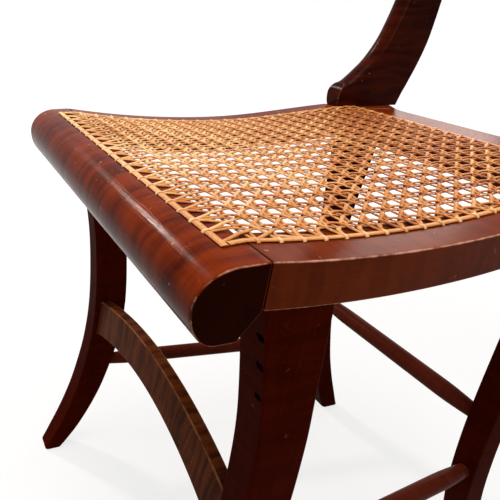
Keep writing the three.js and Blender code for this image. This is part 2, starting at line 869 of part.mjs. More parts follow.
addMesh('front_rail', frontRail(), maple);
addPair('side_rail', sideRail(), maple);
addMesh('rear_rail', rearRail(), maple);
addMesh('front_leg_right', frontLeg(true), darkMaple);
addMesh('front_leg_left', mirrored(frontLeg(false)), darkMaple);
addPair('rear_leg', rearLeg(), darkMaple);
addPair('back_post', backPost(), darkMaple);
addMesh('crest_rail', crestRail(), maple);
addMesh('cross_splat', crossSplat(), maple);
addMesh('front_stretcher', frontStretcher(), maple);
addPair('side_stretcher', rod(sideRodFront, sideRodBack, 0), darkMaple);
addMesh('rear_stretcher', rod(rearRodStart, rearRodEnd, 0), darkMaple);
addMesh('cane_panel', canePanel(), cane);
addPair('cane_binder', sideBinder(), cane);
addMesh('cane_binder_front', endBinder(frontRowY, frontHoles, frontHolePitch), cane);
addMesh('cane_binder_rear', endBinder(caneRearRow, rearHoles, rearHolePitch), cane);
nailSpans(0, nailSink).forEach(({ x, y, z }, i) => {
  addMesh(`leg_nail_${i + 1}`, block(x, y, z), iron);
});

// Stand the chair over the origin.
const bounds = new THREE.Box3().setFromObject(chair);
const middle = bounds.getCenter(new THREE.Vector3());
chair.position.set(-middle.x, -middle.y, -bounds.min.z);

export default chair;
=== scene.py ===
"""Looks of a klismos chair in curly maple with a hand-caned seat.

Sizes are in millimetres, as the maker measures them. Y runs back from the joint of the
front rail with the side rails, and ChairPlan.point() turns a place on the chair into
metres in the frame.
"""

import json
import logging
import math
import random
from dataclasses import dataclass, field
from enum import Enum
from typing import Callable, Sequence

import bpy
from mathutils import Matrix, Vector

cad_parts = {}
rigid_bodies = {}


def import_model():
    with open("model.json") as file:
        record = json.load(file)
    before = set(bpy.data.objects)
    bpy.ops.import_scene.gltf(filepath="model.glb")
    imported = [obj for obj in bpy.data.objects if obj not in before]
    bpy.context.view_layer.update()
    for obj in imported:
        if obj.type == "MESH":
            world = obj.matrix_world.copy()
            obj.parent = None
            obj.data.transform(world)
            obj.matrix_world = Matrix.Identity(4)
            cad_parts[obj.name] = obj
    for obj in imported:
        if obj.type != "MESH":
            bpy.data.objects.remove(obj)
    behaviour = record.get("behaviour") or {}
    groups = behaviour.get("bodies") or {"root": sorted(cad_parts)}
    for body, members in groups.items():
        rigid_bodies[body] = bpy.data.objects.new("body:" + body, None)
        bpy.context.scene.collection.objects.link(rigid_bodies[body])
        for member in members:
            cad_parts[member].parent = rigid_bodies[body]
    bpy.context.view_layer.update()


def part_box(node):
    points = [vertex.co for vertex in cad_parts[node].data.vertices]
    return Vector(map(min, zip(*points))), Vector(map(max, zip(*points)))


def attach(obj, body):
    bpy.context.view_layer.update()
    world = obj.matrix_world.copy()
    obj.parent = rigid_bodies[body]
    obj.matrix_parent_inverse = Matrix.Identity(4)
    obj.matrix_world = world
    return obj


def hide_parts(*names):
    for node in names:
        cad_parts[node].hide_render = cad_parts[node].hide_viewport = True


MM = 0.001
ARRIS = "arris"
STRAND = "strand"
UP = Vector((0, 0, 1))
VECTOR = "NodeSocketVector"
COLOUR = "NodeSocketColor"
VALUE = "NodeSocketFloat"
Pair = tuple[float, float]
Triple = tuple[float, float, float]

log = logging.getLogger("chair")


def srgb(code: str) -> Triple:
    """Linear colour of a six-digit hex code.

    Args:
        code: Hex digits of red, green and blue.

    Returns:
        The colour as linear values from 0 to 1.
    """
    parts = [int(code[i : i + 2], 16) / 255 for i in (0, 2, 4)]
    return tuple(c / 12.92 if c <= 0.04045 else ((c + 0.055) / 1.055) ** 2.4 for c in parts)


def lerp(a: float, b: float, t: float) -> float:
    """Value a share t of the way from a to b."""
    return a + (b - a) * t


def clamp(t: float) -> float:
    """Value held between 0 and 1."""
    return min(1.0, max(0.0, t))


def smooth(t: float) -> float:
    """Eased share, level at both ends."""
    t = clamp(t)
    return t * t * (3 - 2 * t)


def spline(points: Sequence[Pair], steps: int) -> list[Pair]:
    """Even samples of a smooth curve through points.

    Args:
        points: Places that the curve passes through.
        steps: Number of spans in the result.

    Returns:
        steps + 1 places on the curve.
    """
    made = []
    last = len(points) - 1
    for i in range(steps + 1):
        where = last * i / steps
        k = min(int(where), last - 1)
        t = where - k
        p = [points[min(max(k + o, 0), last)] for o in (-1, 0, 1, 2)]
        made.append(tuple(
            0.5 * (2 * b + (c - a) * t + (2 * a - 5 * b + 4 * c - d) * t * t
                   + (3 * b - a - 3 * c + d) * t ** 3)
            for a, b, c, d in zip(*p)))
    return made


@dataclass(frozen=True)
class ChairPlan:
    """Shared sizes of the seat frame, and the way from the plan to the frame."""

    set_back: float
    front_width: float = 383.0
    rear_width: float = 308.2
    side_length: float = 374.0
    rail_breadth: float = 38.0
    rail_thickness: float = 27.5
    seat_height: float = 458.0
    rear_height: float = 453.5
    dip: float = 13.6
    dip_place: float = 160.0
    level_start: float = 296.0
    gap: float = 0.3

    @property
    def splay(self) -> float:
        """Lean of the side rails, across for each millimetre back."""
        return (self.front_width - self.rear_width) / 2 / self.side_length

    @property
    def under_seat(self) -> float:
        """Height of the side rails' underside at the front."""
        return self.seat_height - self.rail_thickness

    def rail_outer(self, y: float) -> float:
        """Outer face of a side rail at a distance back."""
        return self.front_width / 2 - self.splay * y

    def rail_top(self, y: float) -> float:
        """Top of a side rail at a distance back.

        Args:
            y: Distance back from the front joint.

        Returns:
            Height above the floor.
        """
        if y <= 0:
            return self.seat_height
        bottom = self.seat_height - self.dip
        if y < self.dip_place:
            return bottom + self.dip * (1 - y / self.dip_place) ** 2
        if y > self.level_start:
            return self.rear_height
        t = (y - self.dip_place) / (self.level_start - self.dip_place)
        return bottom + (self.rear_height - bottom) * (t * t * (3 - 2 * t) + t ** 3 - t * t)

    def point(self, x: float, y: float, z: float) -> Vector:
        """Place in the frame, in metres."""
        return Vector((x * MM, (y + self.set_back) * MM, z * MM))


@dataclass(frozen=True)
class Sweep:
    """Curve of a leg or a post, its shares given as height, sweep and depth of each place."""

    datum: float
    reach: float
    depth: float
    steps: int
    shares: tuple[Triple, ...]

    def edges(self, low: float, height: float) -> list[Triple]:
        """Slices of the curve, lowest first.

        Args:
            low: Height of its foot.
            height: Height that the shares are taken of.

        Returns:
            Height, front and back of each slice.
        """
        fronts = [(self.datum + self.reach * s, low + height * h) for h, s, _ in self.shares]
        backs = [(self.datum + self.reach * s + self.depth * d, low + height * h) for h, s, d in self.shares]
        return [(z, front, back) for (front, z), (back, _)
                in zip(spline(fronts, self.steps), spline(backs, self.steps))]


def nearest(edges: Sequence[Triple], height: float) -> Triple:
    """Slice nearest to a height."""
    return min(edges, key=lambda edge: abs(edge[0] - height))


def oblong(u0: float, v0: float, u1: float, v1: float) -> list[Pair]:
    """Rectangle between two opposite corners."""
    return [(u0, v0), (u1, v0), (u1, v1), (u0, v1)]


def inset(corners: Sequence[Pair], amount: float) -> list[Pair]:
    """Convex outline with every side moved inwards.

    Args:
        corners: Corners of the outline, in order.
        amount: Distance that each side moves.

    Returns:
        The corners of the smaller outline.
    """
    if amount == 0:
        return list(corners)
    sides = list(zip(corners, [*corners[1:], corners[0]]))
    turn = 1 if sum(a[0] * b[1] - b[0] * a[1] for a, b in sides) > 0 else -1
    lines = []
    for a, b in sides:
        run = Vector(b) - Vector(a)
        normal = Vector((-run.y, run.x)).normalized() * turn
        lines.append((normal, normal.dot(Vector(a)) + amount))
    made = []
    for (n, d), (m, e) in zip([lines[-1], *lines[:-1]], lines):
        det = n.x * m.y - n.y * m.x
        made.append(((d * m.y - e * n.y) / det, (n.x * e - m.x * d) / det))
    return made


def rounded(corners: Sequence[Pair], radius: float) -> list[Triple]:
    """Outline with rounded corners and a point beside each of them, where wear has faded out.

    Args:
        corners: Corners of the outline, in order.
        radius: Radius at the corners.

    Returns:
        Two coordinates and the share of an arris, for each point.
    """
    steps, band, corner_share, side_share = 4, 0.4, 0.3, 0.48
    made = []
    for i, corner in enumerate(corners):
        here = Vector(corner)
        back = Vector(corners[i - 1]) - here
        ahead = Vector(corners[(i + 1) % len(corners)]) - here
        half = back.angle(ahead) / 2
        reach = min(radius / math.tan(half), corner_share * back.length, corner_share * ahead.length)
        a, b = back.normalized(), ahead.normalized()
        centre = here + (a + b).normalized() * (reach / math.cos(half))
        start, end = here + a * reach - centre, here + b * reach - centre
        swing = math.pi - 2 * half
        side = here + a * min(reach + band, side_share * back.length)
        made.append((side.x, side.y, 0.0))
        for k in range(steps + 1):
            t = k / steps
            turned = start * math.sin((1 - t) * swing) + end * math.sin(t * swing)
            p = centre + turned / math.sin(swing)
            made.append((p.x, p.y, 0.55 + 0.45 * math.sin(math.pi * t)))
        side = here + b * min(reach + band, side_share * ahead.length)
        made.append((side.x, side.y, 0.0))
    return made


def end_steps(radius: float, band: float) -> list[Triple]:
    """Rounding of a piece's end, from its face inwards.

    Args:
        radius: Radius of the rounding.
        band: Width of the worn band on both sides of the rounding.

    Returns:
        Distance from the end, inset and share of an arris, for each ring.
    """
    steps, rubbed = 3, 0.6
    rings = [(0.0, radius + band, 0.0), (0.0, radius, rubbed)]
    for k in range(1, steps + 1):
        turn = math.pi / 2 * k / steps
        share = 1.0 if k < steps else rubbed
        rings.append((radius * (1 - math.cos(turn)), radius * (1 - math.sin(turn)), share))
    return [*rings, (radius + band, 0.0, 0.0)]


def bar(low: float, high: float, start: Sequence[Triple], end: Sequence[Triple], spans: int,
        clear: Pair, joint: int = 1) -> list[tuple[float, float, float, int]]:
    """Rings along a bar with rounded ends.

    Args:
        low: Where the bar starts.
        high: Where it ends.
        start: Rounding at the start, from end_steps().
        end: Rounding at the end.
        spans: Number of spans in between.
        clear: Distance from each end in which there is only its rounding.
        joint: Last ring at the start that shows end grain.

    Returns:
        Place, inset, share of an arris and material slot of each ring.
    """
    rings = [(low + off, shrink, worn, int(k <= joint)) for k, (off, shrink, worn) in enumerate(start)]
    rings += [(lerp(low + clear[0], high - clear[1], k / spans), 0.0, 0.0, 0) for k in range(1, spans)]
    tail = [(high - off, shrink, worn, int(k == 0)) for k, (off, shrink, worn) in enumerate(end)]
    return rings + tail[::-1]


def add_object(name: str, data: bpy.types.ID) -> bpy.types.Object:
    """New object in the scene."""
    made = bpy.data.objects.new(name, data)
    bpy.context.scene.collection.objects.link(made)
    return made


class Skin:
    """Closed skins in one mesh, each stretched over rings of the same number of points."""

    def __init__(self, attribute: str = ARRIS, sharp: float = 42.0) -> None:
        """Start with no rings.

        Args:
            attribute: Name of the attribute that the finish reads.
            sharp: Angle above which an edge stays crisp, in degrees.
        """
        self.attribute, self.sharp = attribute, sharp
        self.places: list[Vector] = []
        self.values: list[float] = []
        self.faces: list[tuple[int, ...]] = []
        self.slots: list[int] = []
        self.rings: list[int] = []
        self.base = 0

    def add(self, points: Sequence[Vector], values: Sequence[float], slot: int = 0) -> None:
        """Add a ring; the faces behind it take its material slot."""
        self.places += points
        self.values += values
        self.rings.append(slot)

    def wrap(self, section: Sequence[Triple], place: Callable[[float, float], Vector],
             worn: float = 0.0, slot: int = 0) -> None:
        """Add a ring that follows a section.

        Args:
            section: Two coordinates and the share of an arris, for each point.
            place: Way from the two coordinates to the frame.
            worn: Least share of an arris all around.
            slot: Material slot of the faces behind the ring.
        """
        self.add([place(u, v) for u, v, _ in section], [max(value, worn) for _, _, value in section], slot)

    def close(self) -> None:
        """Close the skin over the rings added so far, its faces turned outwards."""
        base, places = self.base, self.places
        count = (len(places) - base) // len(self.rings)
        last = len(places) - count
        faces = [(a + i, a + (i + 1) % count, a + count + (i + 1) % count, a + count + i)
                 for a in range(base, last, count) for i in range(count)]
        faces += [tuple(range(base + count - 1, base - 1, -1)), tuple(range(last, last + count))]
        volume = sum(places[face[0]].dot(places[b].cross(places[c]))
                     for face in faces for b, c in zip(face[1:], face[2:]))
        self.faces += faces if volume > 0 else [face[::-1] for face in faces]
        self.slots += [slot for slot in self.rings[1:] for _ in range(count)]
        self.slots += [self.rings[0], self.rings[-1]]
        self.rings, self.base = [], len(places)

    def build(self, name: str) -> bpy.types.Object:
        """Close the last skin and make the object.

        Args:
            name: Name of the piece.

        Returns:
            The new object.
        """
        if self.rings:
            self.close()
        mesh = bpy.data.meshes.new(name)
        mesh.from_pydata([tuple(p) for p in self.places], [], self.faces)
        mesh.attributes.new(self.attribute, "FLOAT", "POINT").data.foreach_set("value", self.values)
        mesh.polygons.foreach_set("material_index", self.slots)
        mesh.polygons.foreach_set("use_smooth", [True] * len(self.faces))
        mesh.set_sharp_from_angle(angle=math.radians(self.sharp))
        mesh.update()
        return add_object(name, mesh)


def mirrored(piece: bpy.types.Object, name: str) -> bpy.types.Object:
    """Left-hand twin of a right-hand piece.

    Args:
        piece: The right-hand piece.
        name: Name of the twin.

    Returns:
        The twin, with a mesh of its own.
    """
    mesh = piece.data.copy()
    mesh.transform(Matrix.Diagonal((-1, 1, 1, 1)))
    mesh.flip_normals()
    mesh.name = name
    return add_object(name, mesh)


def settle(piece: bpy.types.Object, materials: Sequence[bpy.types.Material], node: str) -> None:
    """Dress a piece, and let it ride on the chair and stand for its solid.

    Args:
        piece: The piece.
        materials: Its materials, in the order of its mesh's slots.
        node: Solid that the piece stands for.
    """
    for material in materials:
        piece.data.materials.append(material)
    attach(piece, "root")
    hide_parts(node)
    log.info("%s: %d faces, stands for %s", piece.name, len(piece.data.polygons), node)


class Value:
    """An output in a node tree, for sums written as plain arithmetic."""

    def __init__(self, board: "Board", socket: bpy.types.NodeSocket) -> None:
        """Hold a socket and the board that it belongs to."""
        self.board, self.socket = board, socket

    def __add__(self, other: object) -> "Value":
        """Sum with a number or another value."""
        return self.board.math("ADD", self, other)

    def __sub__(self, other: object) -> "Value":
        """Difference from a number or another value."""
        return self.board.math("SUBTRACT", self, other)

    def __mul__(self, other: object) -> "Value":
        """Product with a number or another value."""
        return self.board.math("MULTIPLY", self, other)


class Board:
    """A node tree with short ways to add nodes and join them."""

    def __init__(self, tree: bpy.types.NodeTree) -> None:
        """Work on an empty tree."""
        self.tree = tree
        tree.nodes.clear()

    def put(self, socket: bpy.types.NodeSocket, value: object) -> None:
        """Link an input to a value, or set what it holds.

        Args:
            socket: The input socket.
            value: A value of the tree, a number, a vector or a colour.
        """
        if isinstance(value, Value):
            self.tree.links.new(value.socket, socket)
        elif socket.type == "RGBA":
            socket.default_value = (*value[:3], 1.0)
        else:
            socket.default_value = value

    def add(self, kind: str, inputs: dict | None = None, **settings: object) -> bpy.types.Node:
        """Add a node.

        Args:
            kind: Type of the node.
            inputs: What its inputs take, by name or number.
            settings: Its properties.

        Returns:
            The node.
        """
        node = self.tree.nodes.new(kind)
        for key, value in settings.items():
            setattr(node, key, value)
        for key, value in (inputs or {}).items():
            self.put(node.inputs[key], value)
        return node

    def value(self, kind: str, inputs: dict | None = None, output: str | int = 0,
              **settings: object) -> Value:
        """Add a node and take one of its outputs."""
        return self.out(self.add(kind, inputs, **settings), output)

    def out(self, node: bpy.types.Node, output: str | int = 0) -> Value:
        """Output of a node, by name or number."""
        return Value(self, node.outputs[output])

    def math(self, operation: str, a: object, b: object = 0.0, clamp: bool = False) -> Value:
        """Result of a sum on one or two values."""
        return self.value("ShaderNodeMath", {0: a, 1: b}, operation=operation, use_clamp=clamp)

    def scaled(self, vector: Value, by: Triple) -> Value:
        """Vector stretched along each axis."""
        return self.value("ShaderNodeVectorMath", {0: vector, 1: by}, operation="MULTIPLY")

    def noise(self, vector: Value, scale: object, detail: float = 2.0, roughness: float = 0.5,
              distortion: float = 0.0) -> Value:
        """Noise value at a vector."""
        return self.value("ShaderNodeTexNoise", {
            "Vector": vector, "Scale": scale, "Detail": detail, "Roughness": roughness,
            "Distortion": distortion}, "Fac")

    def range(self, value: Value, low: float, high: float, to_low: float = 0.0,
              to_high: float = 1.0) -> Value:
        """Value mapped from one range to another with soft ends."""
        return self.value("ShaderNodeMapRange", {
            "Value": value, "From Min": low, "From Max": high, "To Min": to_low, "To Max": to_high},
            "Result", interpolation_type="SMOOTHSTEP")

    def mix(self, factor: Value, a: object, b: object) -> Value:
        """Mix of two colours."""
        return self.value("ShaderNodeMix", {"Factor": factor, 6: a, 7: b}, 2, data_type="RGBA")

    def place(self) -> Value:
        """Place on the object, in metres."""
        return self.value("ShaderNodeTexCoord", output="Object")

    def surface(self, colour: Value, roughness: Value, gloss: float, height: Value | None = None,
                strength: float = 0.0, depth: float = 0.0) -> None:
        """Principled shader of a material.

        Args:
            colour: Base colour.
            roughness: Roughness.
            gloss: Specular level.
            height: Height of the bump, if there is one.
            strength: Strength of the bump.
            depth: Height that the bump stands for, in metres.
        """
        inputs = {"Base Color": colour, "Roughness": roughness, "Specular IOR Level": gloss}
        if height:
            inputs["Normal"] = self.value("ShaderNodeBump", {
                "Strength": strength, "Distance": depth, "Height": height}, "Normal")
        self.add("ShaderNodeOutputMaterial", {"Surface": self.value("ShaderNodeBsdfPrincipled", inputs)})

    def white_rays(self) -> Value:
        """1 for rays that see the surroundings: the camera's, mirrored or let through."""
        rays = self.add("ShaderNodeLightPath")
        seen = self.out(rays, "Is Camera Ray") + self.out(rays, "Is Glossy Ray")
        return self.math("ADD", seen, self.out(rays, "Is Transmission Ray"), clamp=True)


def new_material(name: str) -> tuple[bpy.types.Material, Board]:
    """Empty material and the board of its nodes."""
    material = bpy.data.materials.new(name)
    material.use_nodes = True
    return material, Board(material.node_tree)


def new_group(name: str, inputs: dict[str, str | float],
              outputs: dict[str, str]) -> tuple[Board, dict[str, Value], dict]:
    """Empty shader group with named sockets.

    Args:
        name: Name of the group.
        inputs: Kind of each input, or its usual value if it takes a number.
        outputs: Kind of each output.

    Returns:
        The board of the group, its inputs and its outputs by name.
    """
    tree = bpy.data.node_groups.new(name, "ShaderNodeTree")
    for title, kind in inputs.items():
        number = isinstance(kind, float)
        socket = tree.interface.new_socket(title, in_out="INPUT", socket_type=VALUE if number else kind)
        if number:
            socket.default_value = kind
    for title, kind in outputs.items():
        tree.interface.new_socket(title, in_out="OUTPUT", socket_type=kind)
    board = Board(tree)
    start, end = board.add("NodeGroupInput"), board.add("NodeGroupOutput")
    return board, {s.name: Value(board, s) for s in start.outputs}, {s.name: s for s in end.inputs}


@dataclass
class Effects:
    """Shader groups that several finishes share, with the scales of their patterns per metre."""

    bend_scale: float = 22.0
    bend: float = 0.016
    cross_scale: float = 16.0
    streak_scale: Triple = (620.0, 620.0, 14.0)
    cloud_scale: Triple = (30.0, 30.0, 12.0)
    worn_scale: float = 160.0
    patch_scale: float = 18.0
    smear_scale: float = 34.0
    fibre_scale: Triple = (900.0, 900.0, 60.0)
    hair_scale: float = 26.0
    sparse_scale: float = 55.0
    fleck_scale: float = 190.0
    speck_scale: float = 420.0

    def __post_init__(self) -> None:
        """Build each group once."""
        self.figure = self.curly_figure()
        self.wear = self.arris_wear()
        self.handling = self.handling_marks()

    def curly_figure(self) -> bpy.types.NodeTree:
        """Cross stripes, long streaks and clouds of curly maple.

        Returns:
            A group that reads a vector with Z along the grain, in metres.
        """
        board, given, out = new_group(
            "curly_figure",
            {"Vector": VECTOR, "Light": COLOUR, "Dark": COLOUR, "Stripes": 0.5, "Streaks": 0.3,
             "Clouds": 0.4, "Pitch": 110.0},
            {"Color": COLOUR, "Height": VALUE})
        vector = given["Vector"]
        parts = board.add("ShaderNodeSeparateXYZ", {0: vector})
        along = board.out(parts, "Z") + board.noise(vector, self.bend_scale) * self.bend
        cross = board.value("ShaderNodeCombineXYZ", {
            "X": board.out(parts, "X") * self.cross_scale, "Y": board.out(parts, "Y") * self.cross_scale,
            "Z": along * given["Pitch"]})
        stripe = board.range(board.noise(cross, 1.0), 0.3, 0.7)
        streak = board.noise(board.scaled(vector, self.streak_scale), 1.0, 3.0, 0.6)
        cloud = board.noise(board.scaled(vector, self.cloud_scale), 1.0, 3.0, 0.55)
        total = ((stripe - 0.5) * given["Stripes"] + (streak - 0.5) * given["Streaks"]
                 + (cloud - 0.5) * given["Clouds"])
        level = board.math("ADD", total, 0.5, clamp=True)
        board.put(out["Color"], board.mix(level, given["Dark"], given["Light"]))
        board.put(out["Height"], streak * 0.7 + stripe * 0.3)
        return board.tree

    def arris_wear(self) -> bpy.types.NodeTree:
        """Broken rubbing along arrises.

        Returns:
            A group whose mask is 1 where the finish is rubbed through.
        """
        board, given, out = new_group(
            "arris_wear", {"Arris": 0.0, "Vector": VECTOR, "Amount": 0.5}, {"Mask": VALUE})
        rough = board.noise(given["Vector"], self.worn_scale, 5.0, 0.65)
        level = rough * 0.9 + board.noise(given["Vector"], self.patch_scale) * 0.8
        level = (level - 1.25 + given["Amount"] + 0.4) * given["Arris"]
        board.put(out["Mask"], board.range(level, 0.12, 0.5))
        return board.tree

    def handling_marks(self) -> bpy.types.NodeTree:
        """Smears, pin dents and hair scratches of an old polish.

        Returns:
            A group that gives a gloss value around 0, masks of the marks and a bump height.
        """
        board, given, out = new_group(
            "handling_marks", {"Vector": VECTOR, "Smear": 0.15},
            {"Gloss": VALUE, "Speck": VALUE, "Scratch": VALUE, "Height": VALUE})
        vector = given["Vector"]
        smear = board.noise(vector, self.smear_scale, 4.0, 0.6, 0.4)
        fibre = board.noise(board.scaled(vector, self.fibre_scale), 1.0)
        hair = board.math("ABSOLUTE", board.noise(vector, self.hair_scale, 1.0, 0.5, 1.6) - 0.5)
        sparse = board.range(board.noise(vector, self.sparse_scale), 0.56, 0.66)
        scratch = board.range(hair, 0.004, 0.0) * sparse
        fleck = board.range(board.noise(vector, self.fleck_scale, 1.0), 0.765, 0.79)
        board.put(out["Gloss"], (smear - 0.5) * given["Smear"])
        board.put(out["Speck"], board.range(board.noise(vector, self.speck_scale), 0.70, 0.76))
        board.put(out["Scratch"], board.math("MAXIMUM", scratch * 0.6, fleck))
        board.put(out["Height"], smear * 0.5 + fibre * 0.35)
        return board.tree


class Grain(Enum):
    """Direction that the grain runs in a piece."""

    ACROSS = "across"
    BACK = "back"
    UP = "up"

    def turn(self) -> Triple:
        """Rotation that brings the grain to Z."""
        quarter = math.pi / 2
        turns = {"across": (0.0, -quarter, 0.0), "back": (quarter, 0.0, 0.0), "up": (0.0, 0.0, 0.0)}
        return turns[self.value]


@dataclass(frozen=True)
class MapleFinish:
    """Stained and polished curly maple."""

    name: str
    light: str
    dark: str
    worn: str
    stripes: float
    wear: float
    gloss: float
    roughness: float
    streaks: float = 0.4
    clouds: float = 0.7
    pitch: float = 150.0
    marks: float = 0.4
    specks: float = 0.5
    dulled: float = 0.15
    bump: float = 0.16
    bump_depth: float = 0.001

    def material(self, effects: Effects, grain: Grain, shift: float) -> bpy.types.Material:
        """Material for a piece with its grain in one direction.

        Args:
            effects: The shared groups.
            grain: Direction of the grain.
            shift: Offset that gives each piece a board of its own, in metres.

        Returns:
            The material.
        """
        material, board = new_material(f"{self.name}_{grain.value}_{int(shift * 1000)}")
        turned = board.value("ShaderNodeMapping", {
            "Vector": board.place(), "Location": (shift, shift * 0.7, shift * 1.3), "Rotation": grain.turn()})
        figure = board.add("ShaderNodeGroup", {
            "Vector": turned, "Light": srgb(self.light), "Dark": srgb(self.dark), "Stripes": self.stripes,
            "Streaks": self.streaks, "Clouds": self.clouds, "Pitch": self.pitch}, node_tree=effects.figure)
        arris = board.value("ShaderNodeAttribute", output="Fac", attribute_name=ARRIS)
        rubbed = board.value("ShaderNodeGroup", {"Arris": arris, "Vector": turned, "Amount": self.wear},
                             node_tree=effects.wear)
        marks = board.add("ShaderNodeGroup", {"Vector": turned}, node_tree=effects.handling)
        colour = board.mix(rubbed, board.out(figure, "Color"), srgb(self.worn))
        colour = board.mix(board.out(marks, "Speck") * self.specks, colour, srgb(self.dark))
        colour = board.mix(board.out(marks, "Scratch") * self.marks, colour, srgb(self.worn))
        rough = board.out(marks, "Gloss") + self.roughness
        rough = board.math("ADD", rough, rubbed * self.dulled, clamp=True)
        height = board.out(figure, "Height") + board.out(marks, "Height")
        board.surface(colour, rough, self.gloss, height, self.bump, self.bump_depth)
        return material


@dataclass(frozen=True)
class CaneFinish:
    """Split rattan, shiny on its bark side and darkened with age, with painted light towards the front left
    of the seat and painted shade on each strand's sides.
    """

    name: str = "aged_cane"
    light: str = "ffd69a"
    middle: str = "da8a46"
    dark: str = "843a14"
    roughness: float = 0.3
    gloss: float = 0.14
    age_scale: float = 16.0
    fibre_scale: Triple = (520.0, 520.0, 60.0)
    painted_light_place: Triple = (-0.1, -0.2, 0.45)
    painted_light_reach: float = 0.4
    bump: float = 0.25
    bump_depth: float = 0.0003

    def material(self) -> bpy.types.Material:
        """Material for strands and binders, with painted light: palest about a place at the front left of the
        seat, darker further from it.
        """
        material, board = new_material(self.name)
        place = board.place()
        # The strand attribute holds each strand's tone plus the painted shade across its section.
        tone = board.value("ShaderNodeAttribute", output="Fac", attribute_name=STRAND)
        age = board.noise(place, self.age_scale, 3.0)
        fibre = board.noise(board.scaled(place, self.fibre_scale), 1.0, 3.0, 0.6)
        # Painted light and shade: the colour is lifted near a place at the front left of the seat and lowered
        # further from it.
        away = board.value("ShaderNodeVectorMath", {0: place, 1: self.painted_light_place}, "Value",
                           operation="DISTANCE")
        painted_light_pool = board.range(away, 0.05, self.painted_light_reach, 0.2, -0.16)
        level = tone * 0.6 + age * 0.6 + fibre * 0.5 + painted_light_pool
        level = board.math("SUBTRACT", level, 0.36, clamp=True)
        colour = board.mix(board.range(level, 0.0, 0.55), srgb(self.dark), srgb(self.middle))
        colour = board.mix(board.range(level, 0.45, 1.0), colour, srgb(self.light))
        board.surface(colour, age * 0.2 + self.roughness, self.gloss, fibre, self.bump, self.bump_depth)
        return material


@dataclass(frozen=True)
class IronFinish:
    """Dull blackened iron of cut nails."""

    name: str = "cut_iron"
    dark: str = "080403"
    rust: str = "1c0d07"
    roughness: float = 0.45
    spot_scale: float = 700.0

    def material(self) -> bpy.types.Material:
        """Material for the nails."""
        material, board = new_material(self.name)
        spots = board.noise(board.place(), self.spot_scale, 3.0)
        board.surface(board.mix(spots, srgb(self.dark), srgb(self.rust)), spots * 0.3 + self.roughness, 0.0)
        return material


@dataclass
class Palette:
    """Finishes of the chair's parts."""

    effects: Effects = field(default_factory=Effects)
    rail: MapleFinish = MapleFinish(
        "rail_maple", light="8c320a", dark="460e02", worn="f0b490", stripes=0.7, wear=0.3,
        gloss=0.02, roughness=0.2, streaks=0.5, pitch=95.0)
    side: MapleFinish = MapleFinish(
        "side_maple", light="8e380c", dark="521804", worn="e8a890", stripes=0.25, wear=0.42,
        gloss=0.015, roughness=0.24, bump=0.06)
    # The legs' colours are darker than the rails': partly the wood's own colour, partly painted shade.
    leg: MapleFinish = MapleFinish(
        "leg_maple", light="5c1604", dark="320701", worn="a8683c", stripes=0.25, wear=-0.15,
        gloss=0.002, roughness=0.36, streaks=0.6, marks=0.25)
    # The posts' colours are darker than the rails': partly the wood's own colour, partly painted shade.
    post: MapleFinish = MapleFinish(
        "post_maple", light="4e1604", dark="220300", worn="c09070", stripes=0.7, wear=0.2,
        gloss=0.03, roughness=0.22)
    board: MapleFinish = MapleFinish(
        "board_maple", light="84441f", dark="3c170c", worn="b0704a", stripes=0.7, wear=0.42,
        gloss=0.01, roughness=0.36, pitch=190.0)
    rod: MapleFinish = MapleFinish(
        "rod_maple", light="78301e", dark="40160c", worn="96583a", stripes=0.15, wear=0.1,
        gloss=0.02, roughness=0.34)
    ends: MapleFinish = MapleFinish(
        "end_grain", light="381004", dark="180401", worn="e0a888", stripes=0.1, wear=0.3,
        gloss=0.006, roughness=0.42, streaks=0.5, clouds=0.8)
    cane: CaneFinish = CaneFinish()
    iron: IronFinish = IronFinish()

    def wood(self, piece: bpy.types.Object, finish: MapleFinish, grain: Grain, shift: float, slot: str,
             node: str) -> None:
        """Dress a piece in side grain and end grain, and settle it.

        Args:
            piece: The piece, its end grain in the second slot of its mesh.
            finish: Its finish.
            grain: Direction of its grain.
            shift: Offset that gives it a board of its own, in metres.
            slot: Not used.
            node: Solid that the piece stands for.
        """
        settle(piece, [f.material(self.effects, grain, shift) for f in (finish, self.ends)], node)


@dataclass
class Part:
    """Sub-assembly of the chair, with the plan and the finishes that it shares."""

    plan: ChairPlan
    palette: Palette


